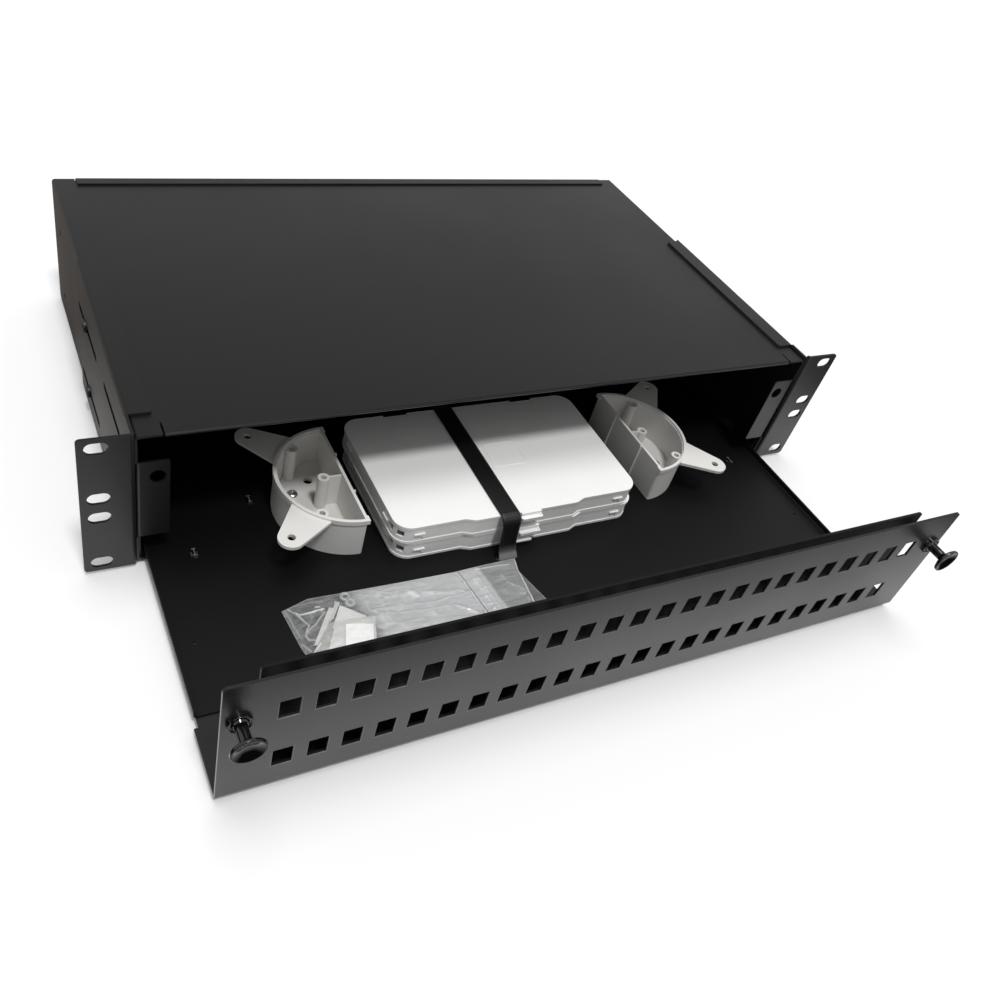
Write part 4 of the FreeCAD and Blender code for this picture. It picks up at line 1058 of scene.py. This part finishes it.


# The sharp folds in the film: height, how white its painted highlight is, and its line in plan
folds = [
    (0.0018, 0.75, [(-0.1517, -0.0528), (-0.1505, -0.0579), (-0.1480, -0.0606),
                    (-0.1423, -0.0607), (-0.1353, -0.0606)]),
    (0.0014, 0.45, [(-0.1505, -0.0579), (-0.1477, -0.0637),
                    (-0.1458, -0.0686), (-0.1481, -0.0713)]),
    (0.0010, 0.40, [(-0.1481, -0.0713), (-0.1493, -0.0739),
                    (-0.1484, -0.0769), (-0.1456, -0.0784)]),
    (0.0012, 0.42, [(-0.1468, -0.0716), (-0.1424, -0.0690), (-0.1357, -0.0630)]),
    (0.0010, 0.30, [(-0.1537, -0.0528), (-0.1529, -0.0587),
                    (-0.1523, -0.0658), (-0.1513, -0.0736)]),
    (0.0008, 0.26, [(-0.1521, -0.0513), (-0.1452, -0.0520),
                    (-0.1368, -0.0525), (-0.1335, -0.0534)]),
    (0.0008, 0.34, [(-0.1516, -0.0768), (-0.1492, -0.0827)]),
    (0.0008, 0.55, [(-0.1480, -0.0841), (-0.1439, -0.0810)]),
    (0.0008, 0.80, [(-0.1385, -0.0573), (-0.1365, -0.0576)]),
    (0.0012, 0.16, [(-0.1089, -0.0672), (-0.0948, -0.0678),
                    (-0.0742, -0.0689), (-0.0529, -0.0679)]),
    (0.0010, 0.12, [(-0.1072, -0.0705), (-0.0844, -0.0729), (-0.0645, -0.0737),
                    (-0.0578, -0.0781), (-0.0524, -0.0840)]),
    (0.0008, 0.10, [(-0.0780, -0.0605), (-0.0657, -0.0646),
                    (-0.0572, -0.0652), (-0.0519, -0.0682)]),
    (0.0008, 0.10, [(-0.1105, -0.0501), (-0.0978, -0.0495), (-0.0892, -0.0543),
                    (-0.0820, -0.0522), (-0.0752, -0.0540)]),
    (0.0007, 0.10, [(-0.1034, -0.0532), (-0.0966, -0.0569),
                    (-0.0878, -0.0560), (-0.0814, -0.0609)]),
    (0.0007, 0.14, [(-0.0478, -0.0510), (-0.0445, -0.0645), (-0.0436, -0.0818)]),
    (0.0006, 0.10, [(-0.0451, -0.0510), (-0.0421, -0.0665), (-0.0406, -0.0826)]),
    (0.0010, 0.55, [(-0.0151, -0.0520), (-0.0174, -0.0641),
                    (-0.0195, -0.0773), (-0.0211, -0.1160)]),
    (0.0008, 0.40, [(-0.0421, -0.0526), (-0.0308, -0.0532), (-0.0204, -0.0541)]),
    (0.0007, 0.12, [(-0.0288, -0.0589), (-0.0280, -0.0660),
                    (-0.0208, -0.0733), (-0.0194, -0.0804)]),
]


def from_line(x, y, line):
    """Distance in plan from a point to a line of points."""
    least = 1.0
    for (x0, y0), (x1, y1) in zip(line, line[1:]):
        run_x = x1 - x0
        run_y = y1 - y0
        share = ((x - x0) * run_x + (y - y0) * run_y) / (run_x * run_x + run_y * run_y)
        share = min(max(share, 0.0), 1.0)
        least = min(least, math.hypot(x - x0 - share * run_x, y - y0 - share * run_y))
    return least


def crease(x, y, seed):
    """Sharp ridge line from smooth noise: 1 on the ridge, falling to 0 between ridges."""
    return max(0.0, 1.0 - 3.2 * abs(noise.noise(Vector((x, y, seed))))) ** 2


def past(distance, blur):
    """0 before an edge and 1 past it."""
    return 1 / (1 + math.exp(-max(min(distance / blur, 30.0), -30.0)))


film_slack = 0.0009
# Where the film bulges over the cards and the rings: height, middle and reach in plan
bulges = [
    (0.0056, (-0.128, -0.078), (0.026, 0.021)),
    (0.0020, (-0.1204, -0.0568), (0.008, 0.006)),
]
# Wrinkles: the height, or the whiteness of a painted highlight, the length and width in plan, and
# the seed of the noise
wrinkles = [(0.0005, 0.034, 0.010, 14.0), (0.0004, 0.014, 0.006, 21.0)]
highlight_wrinkles = [(0.07, 0.026, 0.007, 31.0), (0.05, 0.011, 0.004, 41.0)]
# Up to the slack's end the film lies loose, and has more small wrinkles of painted highlight
slack_highlight_wrinkle = (0.11, 0.008, 0.006, 51.0)
slack_end = -0.082
slack_blur = 0.008
# How far from its line a fold is felt, how fast its height falls and how wide its painted
# highlight is
fold_reach = 0.006
fold_spread = 0.0011
fold_highlight_width = 0.00048
# How far inwards the film takes to rise from the bag's edge
edge_reach = 0.0038


def film_shape(x, y):
    """Height of the upper film above the lower one, and the painted highlight of its folds and
    wrinkles there.
    """
    height = film_slack
    for rise, middle, reach in bulges:
        from_middle = ((x - middle[0]) / reach[0]) ** 2 + ((y - middle[1]) / reach[1]) ** 2
        height += rise * math.exp(-from_middle)
    for rise, length, width, seed in wrinkles:
        height += rise * crease(x / length, y / width, seed)
    white = 0.0
    for glow, length, width, seed in highlight_wrinkles:
        white += glow * crease(x / length, y / width, seed)
    glow, length, width, seed = slack_highlight_wrinkle
    slack = 1.0 - past(x - slack_end, slack_blur)
    white += glow * slack * crease(x / length, y / width, seed)
    for rise, glow, line in folds:
        away = from_line(x, y, line)
        if away < fold_reach:
            height += rise * math.exp(-away / fold_spread)
            white = max(white, glow * math.exp(-((away / fold_highlight_width) ** 2)))
    return height, white


def edge_rise(reach):
    """Share of its height that the upper film has at a distance from the bag's edge."""
    return 1.0 - math.exp(-((reach / edge_reach) ** 1.2))


# Straight lines from the back of the bag to its front: where each starts and its slant
seal_line = (-0.0534, -0.0516, -0.112)
lip_line = (-0.0397, -0.0504, -0.107)
mouth_line = (-0.0141, -0.0523, 0.214)
cards_line = (-0.1190, -0.0500, -0.25)
seal_shade_offset = 0.0013
seal_shade_width = 0.0007
ply_edge = 0.0003
cards_blur = 0.0018


def right_of(x, y, line):
    """How far a point lies to the right of a line that crosses the bag."""
    start_x, start_y, slant = line
    return x - (start_x + slant * (y - start_y))


def milkiness(x, y):
    """How much the film hides: most between seal and lip, least by the cards and the mouth, and a
    clearer line between the seal's ribs as painted shade.
    """
    milk = 0.12 + 0.34 * past(right_of(x, y, cards_line), cards_blur)
    # Painted shade: the film is clearer between the seal's ribs
    from_seal = right_of(x, y, seal_line) - seal_shade_offset
    milk -= 0.22 * math.exp(-((from_seal / seal_shade_width) ** 2))
    milk -= 0.24 * past(right_of(x, y, lip_line), ply_edge)
    milk -= 0.12 * past(right_of(x, y, mouth_line), ply_edge)
    return milk


bag_length = 0.146
bag_width = 0.066
film_gap = 0.0003
film_across = 300
film_along = 130
hem_width = 0.0004
film = bmesh.new()
plies = film.verts.layers.float.new("plies")
upper = []
lower = []
for j in range(film_along + 1):
    v = j / film_along
    upper_row = []
    lower_row = []
    for i in range(film_across + 1):
        u = i / film_across
        x, y = across_bag(u, v)
        reach = min(u * bag_length, (1 - u) * bag_length, v * bag_width, (1 - v) * bag_width)
        height, white = film_shape(x, y)
        top = film.verts.new((x, y, bag_floor + film_gap + height * edge_rise(reach)))
        milk = milkiness(x, y)
        hem = 0.30 * math.exp(-reach / hem_width)
        # The white of folds and wrinkles is painted highlight, drawn as milkier film
        top[plies] = milk + white + hem
        upper_row.append(top)
        if reach > 1e-9:
            under_film = film.verts.new((x, y, bag_floor))
            under_film[plies] = milk * 0.55
            lower_row.append(under_film)
        else:
            lower_row.append(top)
    upper.append(upper_row)
    lower.append(lower_row)
# The cells at two corners start from their next point, so that both halves reach inwards
turned_cells = ((0, film_across - 1), (film_along - 1, 0))
for j in range(film_along):
    for i in range(film_across):
        cells = [
            [upper[j][i], upper[j + 1][i], upper[j + 1][i + 1], upper[j][i + 1]],
            [lower[j][i], lower[j][i + 1], lower[j + 1][i + 1], lower[j + 1][i]],
        ]
        for cell in cells:
            film.faces.new(cell[1:] + cell[:1] if (j, i) in turned_cells else cell)
for face in film.faces:
    face.smooth = True
bag_mesh = finished(film, "press_seal_bag")
bag = bpy.data.objects.new("press_seal_bag", bag_mesh)
scene.collection.objects.link(bag)

# Blown polythene: clear and glossy, slightly milky where plies lie together, finely crinkled, and
# milkier along folds as painted highlight
polythene, tree = empty_material("blown_clear_polythene")
place = add(tree, "ShaderNodeTexCoord")
milk = add(tree, "ShaderNodeAttribute", attribute_name="plies")
lengthwise = add(
    tree, "ShaderNodeMapping", {"Vector": (place, "Object"), "Scale": (0.35, 1.0, 1.0)}
)
crinkle = add(
    tree,
    "ShaderNodeTexNoise",
    {"Vector": (lengthwise, 0), "Scale": 300.0, "Detail": 3.0, "Distortion": 0.8},
)
cloud = add(
    tree, "ShaderNodeTexNoise", {"Vector": (place, "Object"), "Scale": 60.0, "Detail": 3.0}
)
patch = add(tree, "ShaderNodeMapRange", {"Value": (cloud, "Fac"), "To Min": 0.88, "To Max": 1.12})
cover = add(
    tree, "ShaderNodeMath", {0: (milk, "Fac"), 1: (patch, 0)}, operation="MULTIPLY", use_clamp=True
)
gloss = add(tree, "ShaderNodeMapRange", {"Value": (cloud, "Fac"), "To Min": 0.16, "To Max": 0.3})
bump = add(
    tree, "ShaderNodeBump", {"Strength": 0.4, "Distance": 0.0005, "Height": (crinkle, "Fac")}
)
skin = add(
    tree,
    "ShaderNodeBsdfPrincipled",
    {
        "Base Color": srgb("E4E5E6"),
        "Roughness": (gloss, 0),
        "IOR": 1.51,
        "Specular IOR Level": 0.9,
        "Alpha": (cover, 0),
        "Normal": (bump, 0),
    },
)
add(tree, "ShaderNodeOutputMaterial", {"Surface": (skin, 0)})
bag_mesh.materials.append(polythene)
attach(bag, "drawer")
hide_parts("accessory_bag")

# The press seal is a pair of moulded ribs: the ends of each in plan and half its width
seal_ribs = [
    ((-0.0534, -0.0516), (-0.0462, -0.1160), 0.00045),
    ((-0.0514, -0.0516), (-0.0442, -0.1160), 0.0003),
]
seal_length = 0.065
seal_steps = 60
seal = bmesh.new()
for start, end, half in seal_ribs:
    last = None
    for k in range(seal_steps + 1):
        x, y = (a + (b - a) * k / seal_steps for a, b in zip(start, end))
        reach = min(k, seal_steps - k) / seal_steps * seal_length
        z = bag_floor + film_gap + film_shape(x, y)[0] * edge_rise(reach)
        ring = [
            seal.verts.new((x - half, y, z - 0.0001)),
            seal.verts.new((x - half * 0.5, y, z + half * 0.7)),
            seal.verts.new((x + half * 0.5, y, z + half * 0.7)),
            seal.verts.new((x + half, y, z - 0.0001)),
        ]
        if last:
            for m in range(4):
                seal.faces.new((last[m], last[(m + 1) % 4], ring[(m + 1) % 4], ring[m]))
        else:
            seal.faces.new(ring)
        last = ring
    seal.faces.new(last[::-1])
ribs = bpy.data.objects.new("press_seal_ribs", finished(seal, "press_seal_ribs"))
scene.collection.objects.link(ribs)
seal_white = moulded("translucent_seal_rib", "CCCED0", "BCBEC0", 0.3, 500.0, 0.6)
ribs.data.materials.append(seal_white)
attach(ribs, "drawer")

# Blank cards, 0.3 mm thick, fanned out under the film. Each has its place in the pile, how light
# it is drawn against painted shade, and its four corners in plan from the back left one.
cards = [
    (0.28, 0.35, [(-0.1265, -0.0544), (-0.1243, -0.0559), (-0.1310, -0.0650), (-0.1345, -0.0677)]),
    (0.36, 0.50, [(-0.1309, -0.0575), (-0.1286, -0.0591), (-0.1432, -0.0794), (-0.1465, -0.0792)]),
    (0.44, 0.05, [(-0.1346, -0.0678), (-0.1294, -0.0685), (-0.1408, -0.0855), (-0.1478, -0.0830)]),
    (0.56, 0.62, [(-0.1256, -0.0587), (-0.1144, -0.0684), (-0.1235, -0.0806), (-0.1346, -0.0726)]),
    (0.70, 0.45, [(-0.1318, -0.0692), (-0.1100, -0.0697), (-0.1164, -0.0885), (-0.1420, -0.0866)]),
    (0.88, 1.00, [(-0.1279, -0.0730), (-0.1134, -0.0756), (-0.1189, -0.0908), (-0.1340, -0.0897)]),
]
card_thickness = 0.0003
card_gap = 0.0005
card_room = 0.0012
card_across = 5
card_along = 8
card_rim = [(0, i) for i in range(card_across + 1)]
card_rim += [(j, card_across) for j in range(1, card_along + 1)]
card_rim += [(card_along, i) for i in range(card_across - 1, -1, -1)]
card_rim += [(j, 0) for j in range(card_along - 1, 0, -1)]
stack = bmesh.new()
stock = stack.verts.layers.float.new("stock")
for pile, bright, (back_left, back_right, front_right, front_left) in cards:
    sheets = []
    for side in (card_thickness, 0.0):
        sheet = []
        for j in range(card_along + 1):
            row = []
            for i in range(card_across + 1):
                spot = []
                for axis in (0, 1):
                    back_run = back_right[axis] - back_left[axis]
                    front_run = front_right[axis] - front_left[axis]
                    back = back_left[axis] + back_run * i / card_across
                    front = front_left[axis] + front_run * i / card_across
                    spot.append(back + (front - back) * j / card_along)
                room = bag_floor + film_shape(*spot)[0] - card_room - tray_floor
                level = tray_floor + card_gap + pile * room + side
                corner = stack.verts.new((*spot, level))
                corner[stock] = bright
                row.append(corner)
            sheet.append(row)
        sheets.append(sheet)
    for sheet in sheets:
        for j in range(card_along):
            for i in range(card_across):
                stack.faces.new(
                    (sheet[j][i], sheet[j][i + 1], sheet[j + 1][i + 1], sheet[j + 1][i])
                )
    top, base = sheets
    for (j, i), (n, m) in zip(card_rim, card_rim[1:] + card_rim[:1]):
        stack.faces.new((top[j][i], top[n][m], base[n][m], base[j][i]))
blank_cards = bpy.data.objects.new("blank_cards", finished(stack, "blank_cards"))
scene.collection.objects.link(blank_cards)

# Coated white card with a faint felt of fibres, greyed card by card with painted shade
card_stock, tree = empty_material("coated_white_card")
place = add(tree, "ShaderNodeTexCoord")
fibres = add(
    tree,
    "ShaderNodeTexNoise",
    {"Vector": (place, "Object"), "Scale": 420.0, "Detail": 4.0, "Distortion": 0.6},
)
felt = add(
    tree,
    "ShaderNodeMixRGB",
    {"Fac": (fibres, "Fac"), "Color1": srgb("E9E9E5"), "Color2": srgb("F8F8F6")},
)
# Painted shade: each card is mixed from grey to white by its drawn lightness
bright = add(tree, "ShaderNodeAttribute", attribute_name="stock")
tone = add(
    tree,
    "ShaderNodeMixRGB",
    {"Fac": (bright, "Fac"), "Color1": srgb("8C8C86"), "Color2": (felt, 0)},
)
paper = add(
    tree,
    "ShaderNodeBsdfPrincipled",
    {"Base Color": (tone, 0), "Roughness": 0.55, "Specular IOR Level": 0.35},
)
add(tree, "ShaderNodeOutputMaterial", {"Surface": (paper, 0)})
blank_cards.data.materials.append(card_stock)
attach(blank_cards, "drawer")

# Two clear polyamide rings lie beside the cards
ring_mesh = turned(
    "clear_ring",
    [
        (0.0013, 0.0),
        (0.0026, 0.0),
        (0.0030, 0.0005),
        (0.0030, 0.0013),
        (0.0026, 0.0018),
        (0.0013, 0.0018),
        (0.0011, 0.0009),
        (0.0013, 0.0),
    ],
    24,
)
for face in ring_mesh.polygons:
    face.use_smooth = True
frosted = moulded("frosted_clear_polyamide", "A6A8AA", "929496", 0.25, 700.0, 0.7)
ring_gap = 0.0004
ring_places = ((-0.1204, -0.0527), (-0.1190, -0.0573))
ring_spots = [(x, y, tray_floor + ring_gap) for x, y in ring_places]
clear_rings = copies_of(ring_mesh, "clear_rings", ring_spots, [0.0, 0.0], frosted, "drawer")
